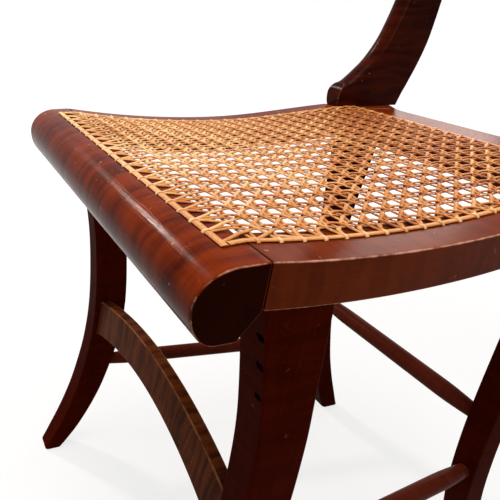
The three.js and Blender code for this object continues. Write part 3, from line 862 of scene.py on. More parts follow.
@dataclass
class SeatFrame(Part):
    """Front, side and rear rails of the seat."""

    nose_reach: float = 41.0
    nose_drop: float = 21.0
    front_height: float = 44.2
    front_flat: float = 16.0
    front_middle: float = -20.0
    back_arris: float = 0.5
    lip_land: float = 1.5
    roll_front: float = 24.0
    roll_back: float = 12.5
    roll_band: float = 0.4
    roll_clear: float = 2.4
    joint_rounding: float = 1.0
    joint_band: float = 1.5
    joint_clear: float = 2.6
    side_band: float = 2.0
    side_clear: float = 4.0
    rear_front: float = 302.0
    rear_back: float = 354.0
    rear_fan: float = 30.0
    cove_reach: float = 36.0
    cove_start: float = 131.6
    cove_trim: float = 350.0
    arris: float = 0.9

    def cove(self, x: float) -> float:
        """Back of the frame at a place across, where it hollows out to the posts.

        Args:
            x: Place across, to either side.

        Returns:
            Distance back.
        """
        run = clamp((abs(x) - self.cove_start + self.cove_reach) / self.cove_reach)
        end = self.plan.side_length
        return end - (end - self.rear_back) * math.sqrt(max(0.0, 1 - run * run))

    def roll_outline(self) -> list[Triple]:
        """Section of the front rail.

        Returns:
            Distance back, height and share of an arris, for each point.
        """
        top, under = self.plan.seat_height, self.plan.under_seat
        nose, bottom = top - self.nose_drop, top - self.front_height
        cut = self.back_arris
        points = [(0.0, under + 1, 0.0), (0.0, top - 3.0, 0.0), (0.0, top - cut, 0.2),
                  (-0.4 * cut, top - 0.4 * cut, 0.3), (-cut, top, 0.2), (-4.0, top, 0.0)]
        steps = 18
        turns = [math.pi / 2 * k / steps for k in range(steps + 1)]
        points += [(-self.front_flat - (self.nose_reach - self.front_flat) * math.sin(turn),
                    nose + self.nose_drop * math.cos(turn), 0.0) for turn in turns]
        points += [(-self.roll_front - (self.nose_reach - self.roll_front) * math.cos(turn),
                    nose - (nose - bottom) * math.sin(turn), 0.0) for turn in turns[1:]]
        return [*points, (-self.roll_back - self.lip_land, bottom, 0.0), (-self.roll_back, bottom + 0.4, 0.6),
                (-0.6, under - 0.4, 0.0)]

    def front_rail(self) -> None:
        """Roll the front rail, with the scuffed rim of its end grain."""
        plan = self.plan
        outline = self.roll_outline()
        middle = Vector((self.front_middle, plan.seat_height - self.nose_drop))
        half = plan.front_width / 2
        rims = end_steps(self.arris, self.roll_band)
        skin = Skin()
        for x, shrink, worn, slot in bar(-half, half, rims, rims, spans=12, clear=(self.roll_clear,) * 2):
            points, values = [], []
            for y, z, value in outline:
                place = Vector((y, z))
                place += (middle - place).normalized() * shrink
                points.append(plan.point(x, place.x, place.y))
                exposed = worn if y < -1.0 else 0.0
                values.append(max(value, exposed) if worn else value * (1 - slot))
            skin.add(points, values, slot)
        self.palette.wood(skin.build("front_roll"), self.palette.rail, Grain.ACROSS, 0.11,
                          "maple", "front_rail")

    def trimmed(self, x: float, y: float) -> float:
        """Distance back of a place on a side rail, drawn in to the cove.

        Args:
            x: Place across.
            y: Distance back on an untrimmed rail.

        Returns:
            Distance back on the trimmed rail.
        """
        if y <= self.cove_trim:
            return y
        share = (y - self.cove_trim) / (self.plan.side_length - self.cove_trim)
        return lerp(self.cove_trim, self.cove(x), share)

    def side_rails(self) -> None:
        """Dip the side rails between the front rail and the posts."""
        plan = self.plan
        joint = [(off, shrink, 0.0) for off, shrink, _ in end_steps(self.joint_rounding, self.joint_band)]
        skin = Skin()
        rings = bar(plan.gap, plan.side_length, joint, end_steps(self.arris, self.side_band), spans=60,
                    clear=(self.joint_clear, self.side_clear), joint=3)
        for y, shrink, worn, slot in rings:
            outer, top = plan.rail_outer(y), plan.rail_top(y)
            corners = oblong(outer, top, outer - plan.rail_breadth, top - plan.rail_thickness)
            skin.wrap(rounded(inset(corners, shrink), self.arris),
                      lambda u, v: plan.point(u, self.trimmed(u, y), v), worn, slot)
        right = skin.build("side_rail_dipped_right")
        left = mirrored(right, "side_rail_dipped_left")
        for piece, node, shift in ((right, "side_rail_right", 0.32), (left, "side_rail_left", 0.57)):
            self.palette.wood(piece, self.palette.side, Grain.BACK, shift, "maple", node)

    def rear_rail(self) -> None:
        """Rear rail between the side rails, hollowed out to the back post at each end."""
        plan = self.plan
        half, tip = (plan.rail_outer(y) - plan.rail_breadth - plan.gap
                     for y in (self.rear_front, self.rear_back))
        low, high, front = plan.rear_height - plan.rail_thickness, plan.rear_height, self.rear_front
        skin = Skin()
        spans = 40
        for k in range(spans + 1):
            x = tip * math.sin(math.pi / 2 * (2 * k / spans - 1))
            skin.wrap(rounded(oblong(front, low, self.cove(x), high), self.arris), lambda u, v: plan.point(
                lerp(x * half / tip, x, min(1.0, (u - front) / self.rear_fan)), u, v))
        self.palette.wood(skin.build("rear_rail_coved"), self.palette.side, Grain.ACROSS, 0.83,
                          "maple", "rear_rail")

    def build(self) -> None:
        """Make the four rails."""
        self.front_rail()
        self.side_rails()
        self.rear_rail()


@dataclass
class Legs(Part):
    """Sabre legs, swept forwards in front and backwards behind."""

    front_thickness: float = 29.0
    front_inset: float = 4.0
    front: Sweep = Sweep(22.4, 78.0, 38.0, 60, (
        (0, -1, 0.63), (0.09, -0.725, 0.78), (0.18, -0.497, 0.89), (0.27, -0.316, 0.96),
        (0.4, -0.125, 1.02), (0.54, -0.02, 1.05), (0.72, -0.01, 1), (0.86, -0.09, 1.02),
        (1.02, -0.24, 1.16)))
    rear_thickness: float = 26.5
    rear_inset: float = 11.1
    rear: Sweep = Sweep(304.0, 88.0, 24.0, 60, (
        (0, 1, 1.1), (0.09, 0.796, 1.1), (0.18, 0.63, 1.06), (0.27, 0.497, 1), (0.4, 0.355, 0.92),
        (0.54, 0.243, 0.87), (0.72, 0.143, 0.98), (0.86, 0.073, 1.38), (1.02, -0.005, 1.95)))
    arris: float = 1.6
    foot: float = 2.8
    foot_band: float = 2.0
    foot_corner: float = 4.5
    foot_reach: float = 40.0
    head_clear: float = 3.0

    @property
    def front_outer(self) -> float:
        """Outer face of the front leg."""
        return self.plan.front_width / 2 - self.front_inset

    @property
    def rear_outer(self) -> float:
        """Outer face of the rear leg."""
        return self.plan.rail_outer(self.plan.side_length) - self.rear_inset

    def edges(self, sweep: Sweep) -> list[Triple]:
        """Height, front and back of each slice of a leg, from the floor up."""
        return sweep.edges(0.0, self.plan.under_seat)

    def leg(self, name: str, inner: float, outer: float, sweep: Sweep) -> bpy.types.Object:
        """One leg, trimmed under the dipped side rail.

        Args:
            name: Name of the piece.
            inner: Inner face, across.
            outer: Outer face, across.
            sweep: Curve of the leg.

        Returns:
            The leg.
        """
        plan = self.plan
        edges = self.edges(sweep)
        base = end_steps(self.foot, self.foot_band)
        _, front, back = edges[0]
        lean = (edges[1][1] - front) / (edges[1][0] - edges[0][0])
        slices = [(off, front + lean * off, back + lean * off, shrink, worn, int(k <= 1))
                  for k, (off, shrink, worn) in enumerate(base)]
        limit = min(plan.rail_top(y) for y in edges[-1][1:]) - plan.rail_thickness - self.head_clear
        slices += [(*edge, 0.0, 0.0, 0) for edge in edges if base[-1][0] + 1 < edge[0] < limit]
        _, front, back = next(edge for edge in edges if edge[0] >= limit)
        slices.append((math.inf, front, back, 0.0, 0.0, 0))
        skin = Skin()
        for z, front, back, shrink, worn, slot in slices:
            corner = lerp(self.foot_corner, self.arris, smooth(z / self.foot_reach))
            section = rounded(inset(oblong(inner, front, outer, back), shrink), corner)
            skin.wrap(section, lambda u, v: plan.point(
                u, v, min(z, plan.rail_top(v) - plan.rail_thickness - plan.gap)), worn, slot)
        return skin.build(name)

    def build(self) -> None:
        """Make the four legs."""
        outer = self.front_outer
        front = self.leg("sabre_leg_front_right", outer - self.front_thickness, outer, self.front)
        outer = self.rear_outer
        rear = self.leg("sabre_leg_rear_right", outer - self.rear_thickness, outer, self.rear)
        for piece, node, shift in (
                (front, "front_leg_right", 0.21),
                (mirrored(front, "sabre_leg_front_left"), "front_leg_left", 0.44),
                (rear, "rear_leg_right", 0.66),
                (mirrored(rear, "sabre_leg_rear_left"), "rear_leg_left", 0.91)):
            self.palette.wood(piece, self.palette.leg, Grain.UP, shift, "dark_maple", node)


@dataclass
class Nails(Part):
    """Cut nails driven into the front of one leg, their heads filled over."""

    legs: Legs
    half: Pair = (3.6, 2.5)
    proud: float = 0.25
    depth: float = 1.2
    uneven: float = 0.24
    span: float = 15.0
    corners: int = 20
    seed: int = 5
    nodes: tuple[str, ...] = ("leg_nail_1", "leg_nail_2", "leg_nail_3")

    def head(self, number: int, node: str, dice: random.Random) -> None:
        """One filled head, a little ragged.

        Args:
            number: Number of the nail, from the top.
            node: Solid that the head stands for.
            dice: Source of small differences.
        """
        middle = sum(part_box(node), Vector()) / 2 / MM
        edges = self.legs.edges(self.legs.front)
        place, face, _ = nearest(edges, middle.z)
        higher, ahead, _ = nearest(edges, middle.z + self.span)
        lean = (ahead - face) / (higher - place)
        face += lean * (middle.z - place)
        reach = [1 + dice.uniform(-self.uneven, self.uneven) for _ in range(self.corners)]
        skin = Skin()
        for off, share in ((self.depth, 0.9), (0.0, 1.0), (-self.proud * 0.7, 0.86), (-self.proud, 0.5)):
            points = []
            for k, radius in enumerate(reach):
                turn = 2 * math.pi * k / self.corners
                bulge = radius * share / max(abs(math.cos(turn)), abs(math.sin(turn))) ** 0.5
                aside = self.half[0] * bulge * math.cos(turn)
                rise = self.half[1] * bulge * math.sin(turn)
                points.append(self.plan.point(middle.x + aside, face + lean * rise + off, middle.z + rise))
            skin.add(points, [0.0] * self.corners)
        settle(skin.build(f"nail_head_{number}"), [self.palette.iron.material()], node)

    def build(self) -> None:
        """Set every head."""
        dice = random.Random(self.seed)
        for number, node in enumerate(self.nodes, 1):
            self.head(number, node, dice)


@dataclass
class Back(Part):
    """Swept back posts, tablet crest rail and cross splat."""

    thickness: float = 21.5
    post_inset: float = 1.0
    height: float = 294.0
    post: Sweep = Sweep(297.5, 110.0, 66.0, 90, (
        (0, 0.01, 1.12), (0.045, 0, 1.19), (0.07, 0.03, 1.18), (0.09, 0.1, 1.09), (0.12, 0.185, 0.99),
        (0.16, 0.28, 0.88), (0.22, 0.37, 0.78), (0.29, 0.43, 0.7), (0.37, 0.475, 0.635),
        (0.56, 0.555, 0.535), (0.78, 0.66, 0.455), (1, 0.798, 0.41)))
    bullnose: float = 8.0
    facet_middle: float = 11.5
    facet_reach: float = 12.0
    facet_cut: float = 5.6
    facet_least: float = 0.06
    crest_overhang: float = 49.4
    crest_height: float = 88.0
    crest_thickness: float = 20.0
    crest_bow: float = 44.0
    crest_lean: float = 16.0
    crest_arch: float = 5.0
    crest_ends: float = 3.0
    splat_thickness: float = 12.0
    splat_height: float = 34.0
    splat_swell: float = 24.0
    splat_lean: float = 7.0
    splat_rise: float = 142.0
    splat_ends: float = 0.8
    end_band: float = 2.0
    arris: float = 1.6

    def post_edges(self) -> list[Triple]:
        """Height, front and back of each slice of a post."""
        return self.post.edges(self.plan.rear_height + self.plan.gap, self.height)

    def nose_facet(self, z: float) -> float:
        """Depth that is cut off the rounded front of the foot at a height."""
        rise = (z - self.plan.rear_height - self.facet_middle) / self.facet_reach
        return self.facet_cut * math.sqrt(max(0.0, 1 - rise * rise))

    def post_section(self, inner: float, outer: float, front: float, back: float, cut: float) -> list[Triple]:
        """Section of a post: a half-round front, cut flat at the foot, and a square back.

        Args:
            inner: Inner face, across.
            outer: Outer face, across.
            front: Foremost place.
            back: Back face.
            cut: Depth that the flat takes off the half-round.

        Returns:
            Place across, distance back and share of an arris, for each point.
        """
        middle, half = (inner + outer) / 2, self.thickness / 2
        edge = min(math.asin(1 - cut / self.bullnose), math.pi / 2 - self.facet_least)
        flank, flat = 6, 4
        turns = [edge * k / flank for k in range(flank)]
        turns = [*turns, *(lerp(edge, math.pi - edge, k / flat) for k in range(flat + 1)),
                 *(math.pi - turn for turn in reversed(turns))]
        section = []
        for k, turn in enumerate(turns):
            y = front - cut + self.bullnose * (1 - math.sin(turn))
            crisp = k in (flank, flank + flat) and cut > 0.2
            section.append((middle - half * math.cos(turn), max(front, y),
                            1.0 if crisp else 0.3 * math.sin(turn)))
        tail = rounded(oblong(inner, front + self.bullnose, outer, back), self.arris)
        return section + tail[len(tail) // 2:]

    def posts(self) -> None:
        """Posts with a half-round front edge, scrolled out at the foot."""
        plan = self.plan
        outer = plan.front_width / 2 - self.post_inset
        skin = Skin()
        for z, front, back in self.post_edges():
            section = self.post_section(outer - self.thickness, outer, front, back, self.nose_facet(z))
            skin.wrap(section, lambda u, v: plan.point(u - plan.splay * v, v, z))
        right = skin.build("swept_post_right")
        left = mirrored(right, "swept_post_left")
        for piece, node, shift in ((right, "back_post_right", 0.15), (left, "back_post_left", 0.77)):
            self.palette.wood(piece, self.palette.post, Grain.UP, shift, "dark_maple", node)

    def bowed(self, name: str, half: float, bow: float, middle: float, thickness: float, lean: float,
              reach: Callable[[float], Pair], ends: float) -> bpy.types.Object:
        """A board across the back, bowed away from the sitter.

        Args:
            name: Name of the piece.
            half: Half of its width.
            bow: Depth of the bow.
            middle: Distance back of its ends' middle.
            thickness: Thickness of the board.
            lean: How far the top leans back.
            reach: Lower and upper edge by the share of the width.
            ends: Radius of the rounding at its ends.

        Returns:
            The board.
        """
        rims = end_steps(ends, self.end_band)
        skin = Skin()
        clear = (ends + self.end_band,) * 2
        for x, shrink, worn, slot in bar(-half, half, rims, rims, spans=48, clear=clear):
            share = x / half
            front = middle + bow * (1 - share * share) - thickness / 2
            back = front + thickness
            bottom, top = reach(share)
            corners = [(front, bottom), (back, bottom), (back + lean, top), (front + lean, top)]
            skin.wrap(rounded(inset(corners, shrink), self.arris),
                      lambda u, v: self.plan.point(x, u, v), worn, slot)
        return skin.build(name)

    def boards(self) -> None:
        """Crest rail on the posts' tops, and the splat between them."""
        plan = self.plan
        edges = self.post_edges()
        top_z, front, back = edges[-1]
        y = (front + back) / 2
        bottom = top_z + plan.gap
        post_outer = plan.rail_outer(y) - self.post_inset
        crest_half = post_outer + self.crest_overhang
        at_post = (post_outer - self.thickness / 2) / crest_half
        crest = self.bowed(
            "tablet_crest", crest_half, self.crest_bow, y - self.crest_bow * (1 - at_post ** 2),
            self.crest_thickness, self.crest_lean,
            lambda share: (bottom, bottom + self.crest_height - self.crest_arch * share * share),
            self.crest_ends)
        self.palette.wood(crest, self.palette.rail, Grain.ACROSS, 0.49, "maple", "crest_rail")
        middle = plan.rear_height + self.splat_rise
        _, front, back = nearest(edges, middle)
        y = (front + back) / 2
        half = plan.rail_outer(y + self.splat_lean) - self.post_inset - self.thickness - plan.gap

        def reach(share: float) -> Pair:
            """Lower and upper edge of the splat at a share of its width."""
            swell = self.splat_swell * math.cos(math.pi / 2 * share) ** 2
            return middle - (self.splat_height + swell) / 2, middle + (self.splat_height + swell) / 2

        splat = self.bowed(
            "cross_splat_swelled", half, self.crest_bow * (half / crest_half) ** 2,
            y - self.splat_lean / 2, self.splat_thickness, self.splat_lean, reach, self.splat_ends)
        self.palette.wood(splat, self.palette.rail, Grain.ACROSS, 0.27, "maple", "cross_splat")

    def build(self) -> None:
        """Make the posts and the boards between them."""
        self.posts()
        self.boards()


@dataclass
class Stretchers(Part):
    """Arched board in front, turned rods at the sides and behind."""

    legs: Legs
    thickness: float = 12.0
    front: float = 31.8
    lean: float = 0.146
    top: float = 260.0
    end_top: float = 236.0
    bottom: float = 220.0
    end_bottom: float = 191.0
    radius: float = 9.5
    shoulder: float = 7.2
    taper: float = 46.0
    socket: float = 11.0
    side_height: float = 137.0
    rear_height: float = 207.0
    arris: float = 1.4
    rod_wear: float = 0.15
    sides: int = 32

    def board(self) -> None:
        """Arched board between the front legs."""
        half = self.legs.front_outer - self.legs.front_thickness - self.plan.gap
        skin = Skin()
        spans = 60
        for k in range(spans + 1):
            share = 2 * k / spans - 1
            top = self.top - (self.top - self.end_top) * share * share
            bottom = self.bottom - (self.bottom - self.end_bottom) * share * share
            skin.wrap(rounded(oblong(self.front, bottom, self.front + self.thickness, top), self.arris),
                      lambda u, v: self.plan.point(half * share, u + self.lean * (v - self.top), v))
        self.palette.wood(skin.build("arched_stretcher"), self.palette.board, Grain.ACROSS, 0.62,
                          "maple", "front_stretcher")

    def rod(self, name: str, start: Vector, end: Vector) -> bpy.types.Object:
        """Turned rod, swelling from its shoulders to its middle.

        Args:
            name: Name of the piece.
            start: One end, in the plan's millimetres.
            end: The other end.

        Returns:
            The rod.
        """
        length = (end - start).length
        aim = (end - start).normalized()
        side = aim.cross(UP).normalized()
        up = side.cross(aim)
        spans = 12
        stations = [0.0, 1.0, self.socket]
        stations += [self.socket + self.taper * k / spans for k in range(1, spans + 1)]
        stations += [length - s for s in reversed(stations)]
        skin = Skin()
        for s in stations:
            share = clamp((min(s, length - s) - self.socket) / self.taper)
            radius = lerp(self.shoulder, self.radius, math.sin(math.pi / 2 * share))
            points = []
            for k in range(self.sides):
                turn = 2 * math.pi * k / self.sides
                spoke = side * math.cos(turn) + up * math.sin(turn)
                points.append(self.plan.point(*(start + aim * s + spoke * radius)))
            skin.add(points, [self.rod_wear] * self.sides)
        return skin.build(name)

    def rods(self) -> None:
        """Side rods between front and rear legs, and the rod behind."""
        legs, z = self.legs, self.side_height
        rear_edges = legs.edges(legs.rear)
        back_x = legs.rear_outer - legs.rear_thickness / 2
        start = Vector((legs.front_outer - legs.front_thickness / 2,
                        nearest(legs.edges(legs.front), z)[2] - self.socket, z))
        right = self.rod("turned_rod_right", start,
                         Vector((back_x, nearest(rear_edges, z)[1] + self.socket, z)))
        left = mirrored(right, "turned_rod_left")
        _, front, back = nearest(rear_edges, self.rear_height)
        tip = Vector((back_x - legs.rear_thickness / 2 + self.socket, 0, 0))
        middle = Vector((0, (front + back) / 2, self.rear_height))
        behind = self.rod("turned_rod_rear", middle - tip, middle + tip)
        for piece, node, grain, shift in (
                (right, "side_stretcher_right", Grain.BACK, 0.35),
                (left, "side_stretcher_left", Grain.BACK, 0.52),
                (behind, "rear_stretcher", Grain.ACROSS, 0.71)):
            self.palette.wood(piece, self.palette.rod, grain, shift, "dark_maple", node)

    def build(self) -> None:
        """Make the board and the rods."""
        self.board()
        self.rods()


@dataclass
class CaneSeat(Part):
    """Hand-woven six-way cane with its binder and ties."""

    line_inset: float = 25.6
    front_row: float = -13.5
    rear_row: float = 317.0
    first_row: float = 6.5
    row_pitch: float = 15.75
    rows: int = 20
    front_pitch: float = 15.7
    rear_pitch: float = 14.1
    columns: int = 20
    sag: float = 0.8
    pair_across: float = 4.75
    pair_deep: float = 5.25
    pair_hole: float = 2.3
    pair_gather: float = 14.0
    pair_width: float = 2.45
    pair_steps: int = 3
    diagonal_width: float = 3.0
    diagonal_steps: int = 5
    strand_thickness: float = 1.0
    weave: float = 0.55
    diagonal_weave: float = 1.0
    hole_drop: float = -0.6
    lip: float = 3.0
    lip_drop: float = -0.1
    rim_clear: float = 5.0
    rear_clear: float = 4.0
    diagonal_clear: float = 4.0
    next_to_row: float = 2.0
    inner_share: float = 0.2
    inner_rise: float = 0.05
    binder_width: float = 4.8
    binder_thickness: float = 1.0
    binder_rise: float = 0.75
    binder_past: float = 2.4
    binder_short: float = 2.8
    tie_width: float = 2.8
    tie_thickness: float = 0.6
    tie_reach: float = 0.35
    tie_rise: float = 0.75
    tie_drop: float = 0.7
    tie_skew: float = 0.5
    tie_samples: int = 4
    back_tones: Pair = (0.25, 0.8)
    across_tones: Pair = (0.2, 0.75)
    left_tones: Pair = (0.45, 1.0)
    right_tones: Pair = (0.2, 0.8)
    binder_tones: Pair = (0.6, 0.8)
    tie_tones: Pair = (0.75, 1.2)
    seed: int = 7
    binder_seed: int = 21
    sharp: float = 60.0
    # Section of a strand: across and up as shares of its width and thickness, and a painted shade added to
    # its tone, lighter on the crown and darker on the sides and underneath.
    profile: tuple[Triple, ...] = (
        (-0.5, -0.1, -0.7), (-0.42, 0.24, -0.2), (-0.22, 0.46, 0.15), (0.0, 0.55, 0.25),
        (0.22, 0.46, 0.15), (0.42, 0.24, -0.2), (0.5, -0.1, -0.7), (0.0, -0.45, -0.9))

    def ribbon(self, strands: Skin, path: Sequence[Vector], width: float, thickness: float,
               tone: float) -> None:
        """Add a strand, a flat ribbon with a crowned top; its crown gets painted light and its sides and
        underside painted shade.

        Args:
            strands: Mesh that takes the strand.
            path: Places along the strand's middle, in metres.
            width: Width of the strand.
            thickness: Thickness of the strand.
            tone: Shade of the strand, from 0 dark to 1 light.
        """
        for before, place, after in zip([path[0], *path], path, [*path[1:], path[-1]]):
            run = (after - before).normalized()
            side = run.cross(UP).normalized()
            top = side.cross(run)
            strands.add([place + side * (u * width * MM) + top * (v * thickness * MM)
                         for u, v, _ in self.profile], [tone + painted_shade for _, _, painted_shade in self.profile])
        strands.close()

    def line(self, y: float) -> float:
        """Hole line of a side, across, at a distance back."""
        return self.plan.rail_outer(y) - self.line_inset

    def share_back(self, y: float) -> float:
        """Share of the way from the front row of holes to the rear row."""
        return (y - self.front_row) / (self.rear_row - self.front_row)

    def surface(self, x: float, y: float) -> float:
        """Height of the taut sheet, lifted off the dip between the side rails.

        Args:
            x: Place across.
            y: Distance back.

        Returns:
            Height above the floor.
        """
        plan = self.plan
        straight = lerp(plan.seat_height, plan.rear_height, clamp(self.share_back(y)))
        rate = math.pi / (self.rear_row - self.front_row)
        lift = 1 - math.cosh(rate * x) / math.cosh(rate * self.line(y))
        return plan.rail_top(y) + self.sag + (straight - plan.rail_top(y)) * max(0.0, lift)

    def column_x(self, index: float, y: float) -> float:
        """Place across of a column of strands, at a distance back."""
        return index * lerp(self.front_pitch, self.rear_pitch, self.share_back(y))

    def row_y(self, index: float) -> float:
        """Distance back of a row of strands."""
        return self.first_row + self.row_pitch * index

    def gathered(self, near: float, spread: float) -> float:
        """Half of the distance within a pair, drawn together at its holes."""
        return lerp(self.pair_hole, spread, smooth(near / self.pair_gather)) / 2

    def run(self, controls: Sequence[Triple], steps: int) -> list[Vector]:
        """Smooth path through crossings.

        Args:
            controls: Place across, distance back and height off the sheet, for each crossing.
            steps: Samples between two crossings.

        Returns:
            Places in metres.
        """
        places = []
        for (x0, y0, h0), (x1, y1, h1) in zip(controls, controls[1:]):
            for k in range(steps):
                t = k / steps
                places.append((lerp(x0, x1, t), lerp(y0, y1, t), lerp(h0, h1, smooth(t))))
        places.append(controls[-1])
        return [self.plan.point(x, y, self.surface(x, y) + h) for x, y, h in places]

    def pairs_back(self, strands: Skin, dice: random.Random) -> None:
        """Pairs of strands from the front row of holes to the rear row."""
        for column in range(self.columns):
            index = column - (self.columns - 1) / 2
            for side in (-1, 1):
                levels = [(self.front_row, self.hole_drop), (self.front_row + self.lip, self.lip_drop)]
                for row in range(self.rows):
                    y = self.row_y(row)
                    for deep in (-1, 1):
                        level = self.weave * (-1 if side == deep else 1)
                        levels.append((y + deep * self.pair_deep / 2, level))
                    if y + self.row_pitch / 2 < self.rear_row - self.rear_clear:
                        levels.append((y + self.row_pitch / 2, 0.0))
                levels += [(self.rear_row - self.lip, self.lip_drop), (self.rear_row, self.hole_drop)]
                controls = []
                for y, level in levels:
                    half = self.gathered(min(y - self.front_row, self.rear_row - y), self.pair_across)
                    controls.append((self.column_x(index, y) + side * half, y, level))
                self.ribbon(strands, self.run(controls, self.pair_steps), self.pair_width,
                            self.strand_thickness, dice.uniform(*self.back_tones))

    def pairs_across(self, strands: Skin, dice: random.Random) -> None:
        """Pairs of strands from side to side."""
        for row in range(self.rows):
            y = self.row_y(row)
            edge = self.line(y)
            for deep in (-1, 1):
                levels = [(-edge, self.hole_drop), (-edge + self.lip, self.lip_drop)]
                for column in range(self.columns):
                    index = column - (self.columns - 1) / 2
                    middle, between = self.column_x(index, y), self.column_x(index - 0.5, y)
                    if abs(middle) > edge - self.rim_clear:
                        continue
                    if between > -edge + self.rim_clear:
                        levels.append((between, 0.0))
                    for side in (-1, 1):
                        level = self.weave * (1 if side == deep else -1)
                        levels.append((middle + side * self.pair_across / 2, level))
                levels += [(edge - self.lip, self.lip_drop), (edge, self.hole_drop)]
                controls = [(x, y + deep * self.gathered(edge - abs(x), self.pair_deep), level)
                            for x, level in levels]
                self.ribbon(strands, self.run(controls, self.pair_steps), self.pair_width,
                            self.strand_thickness, dice.uniform(*self.across_tones))

    def diagonals(self, strands: Skin, dice: random.Random) -> None:
        """Single strands on both diagonals, through the middles between crossings."""
        for heading in (-1, 1):
            for start in range(-2 * self.columns, 2 * self.columns + 1):
                lattice: list[Triple] = []
                for step in range(2 * self.rows - 1):
                    y = self.row_y(step / 2)
                    x = self.column_x(start + 1 + heading * step / 2, y)
                    if abs(x) <= self.line(y) - self.diagonal_clear:
                        over = (step % 2 == 0) == (heading < 0)
                        lattice.append((x, y, self.diagonal_weave * (1 if over else -1)))
                if len(lattice) < 2:
                    continue
                controls = [*self.anchor(lattice[0], lattice[1]), *lattice,
                            *reversed(self.anchor(lattice[-1], lattice[-2]))]
                tones = self.left_tones if heading < 0 else self.right_tones
                self.ribbon(strands, self.run(controls, self.diagonal_steps), self.diagonal_width,
                            self.strand_thickness, dice.uniform(*tones))

    def anchor(self, first: Triple, second: Triple) -> list[Triple]:
        """Way of a diagonal from a hole of the rim to its first crossing.

        Args:
            first: The first crossing.
            second: The crossing after it.

        Returns:
            Hole first, then a place just inside it.
        """
        x, y, _ = first
        dx, dy = x - second[0], y - second[1]
        at_front = y < self.first_row + self.next_to_row and dy < 0
        at_rear = y > self.row_y(self.rows - 1) - self.next_to_row and dy > 0
        for row, pitch, near in ((self.front_row, self.front_pitch, at_front),
                                 (self.rear_row, self.rear_pitch, at_rear)):
            if near:
                column = round(x / pitch + math.copysign(0.25, dx) - 0.5) + 0.5
                edge = self.line(row)
                hole = (max(-edge, min(edge, column * pitch)), row)
                break
        else:
            outside = y + dy * (self.line(y) - abs(x)) / max(1e-6, abs(dx))
            index = round((outside - self.first_row) / self.row_pitch)
            row = self.row_y(min(self.rows - 1, max(0, index)))
            hole = (math.copysign(self.line(row), x), row)
        inner = (lerp(h, p, self.inner_share) for h, p in zip(hole, (x, y)))
        return [(*hole, self.hole_drop), (*inner, self.inner_rise)]

    def sheet(self) -> None:
        """Weave the seat."""
        dice = random.Random(self.seed)
        strands = Skin(STRAND, self.sharp)
        self.pairs_back(strands, dice)
        self.pairs_across(strands, dice)
        self.diagonals(strands, dice)
        settle(strands.build("woven_cane"), [self.palette.cane.material()], "cane_panel")

    def on_rail(self, x: float, y: float) -> Vector:
        """Place on a binder strip's middle."""
        return self.plan.point(x, y, self.plan.rail_top(y) + self.binder_rise)

    def binding(self, name: str, node: str, path: Sequence[Vector], holes: Sequence[Vector], across: Vector,
                dice: random.Random) -> None:
        """Binder strip tied down at every hole.

        Args:
            name: Name of the piece.
            node: Solid that the strip stands for.
            path: Places along the strip.
            holes: Places of the ties.
            across: Direction across the strip.
            dice: Source of small differences.
        """
        strands = Skin(STRAND, self.sharp)
        self.ribbon(strands, path, self.binder_width, self.binder_thickness, dice.uniform(*self.binder_tones))
        half = (self.binder_width / 2 + self.tie_reach) * MM
        for hole in holes:
            lean = across.cross(UP) * dice.uniform(-self.tie_skew, self.tie_skew) * MM
            arch = []
            for s in (k / self.tie_samples for k in range(-self.tie_samples, self.tie_samples + 1)):
                rise = self.tie_rise * (1 - abs(s) ** 3) - self.tie_drop * abs(s) ** 6
                arch.append(hole + across * (s * half) + lean * s + UP * (rise * MM))
            self.ribbon(strands, arch, self.tie_width, self.tie_thickness, dice.uniform(*self.tie_tones))
        settle(strands.build(name), [self.palette.cane.material()], node)

    def binders(self) -> None:
        """Lay and tie the four binder strips."""
        dice = random.Random(self.binder_seed)
        for name, y, count, pitch in (("front", self.front_row, self.columns, self.front_pitch),
                                      ("rear", self.rear_row, self.columns - 2, self.rear_pitch)):
            half = self.line(y) + self.binder_past
            path = [self.on_rail(lerp(-half, half, k / 80), y) for k in range(81)]
            holes = [self.on_rail((k - (count - 1) / 2) * pitch, y) for k in range(count)]
            self.binding(f"binder_strip_{name}", f"cane_binder_{name}", path, holes, Vector((0, 1, 0)), dice)
        low, high = self.front_row + self.binder_short, self.rear_row - self.binder_short
        for name, side in (("right", 1), ("left", -1)):
            path, holes = ([self.on_rail(side * self.line(y), y) for y in places] for places in (
                [lerp(low, high, k / 100) for k in range(101)],
                [self.row_y(row) for row in range(self.rows)]))
            across = Vector((1, self.plan.splay * side, 0)).normalized()
            self.binding(f"binder_strip_{name}", f"cane_binder_{name}", path, holes, across, dice)

    def build(self) -> None:
        """Weave the seat and bind it."""
        self.sheet()
        self.binders()


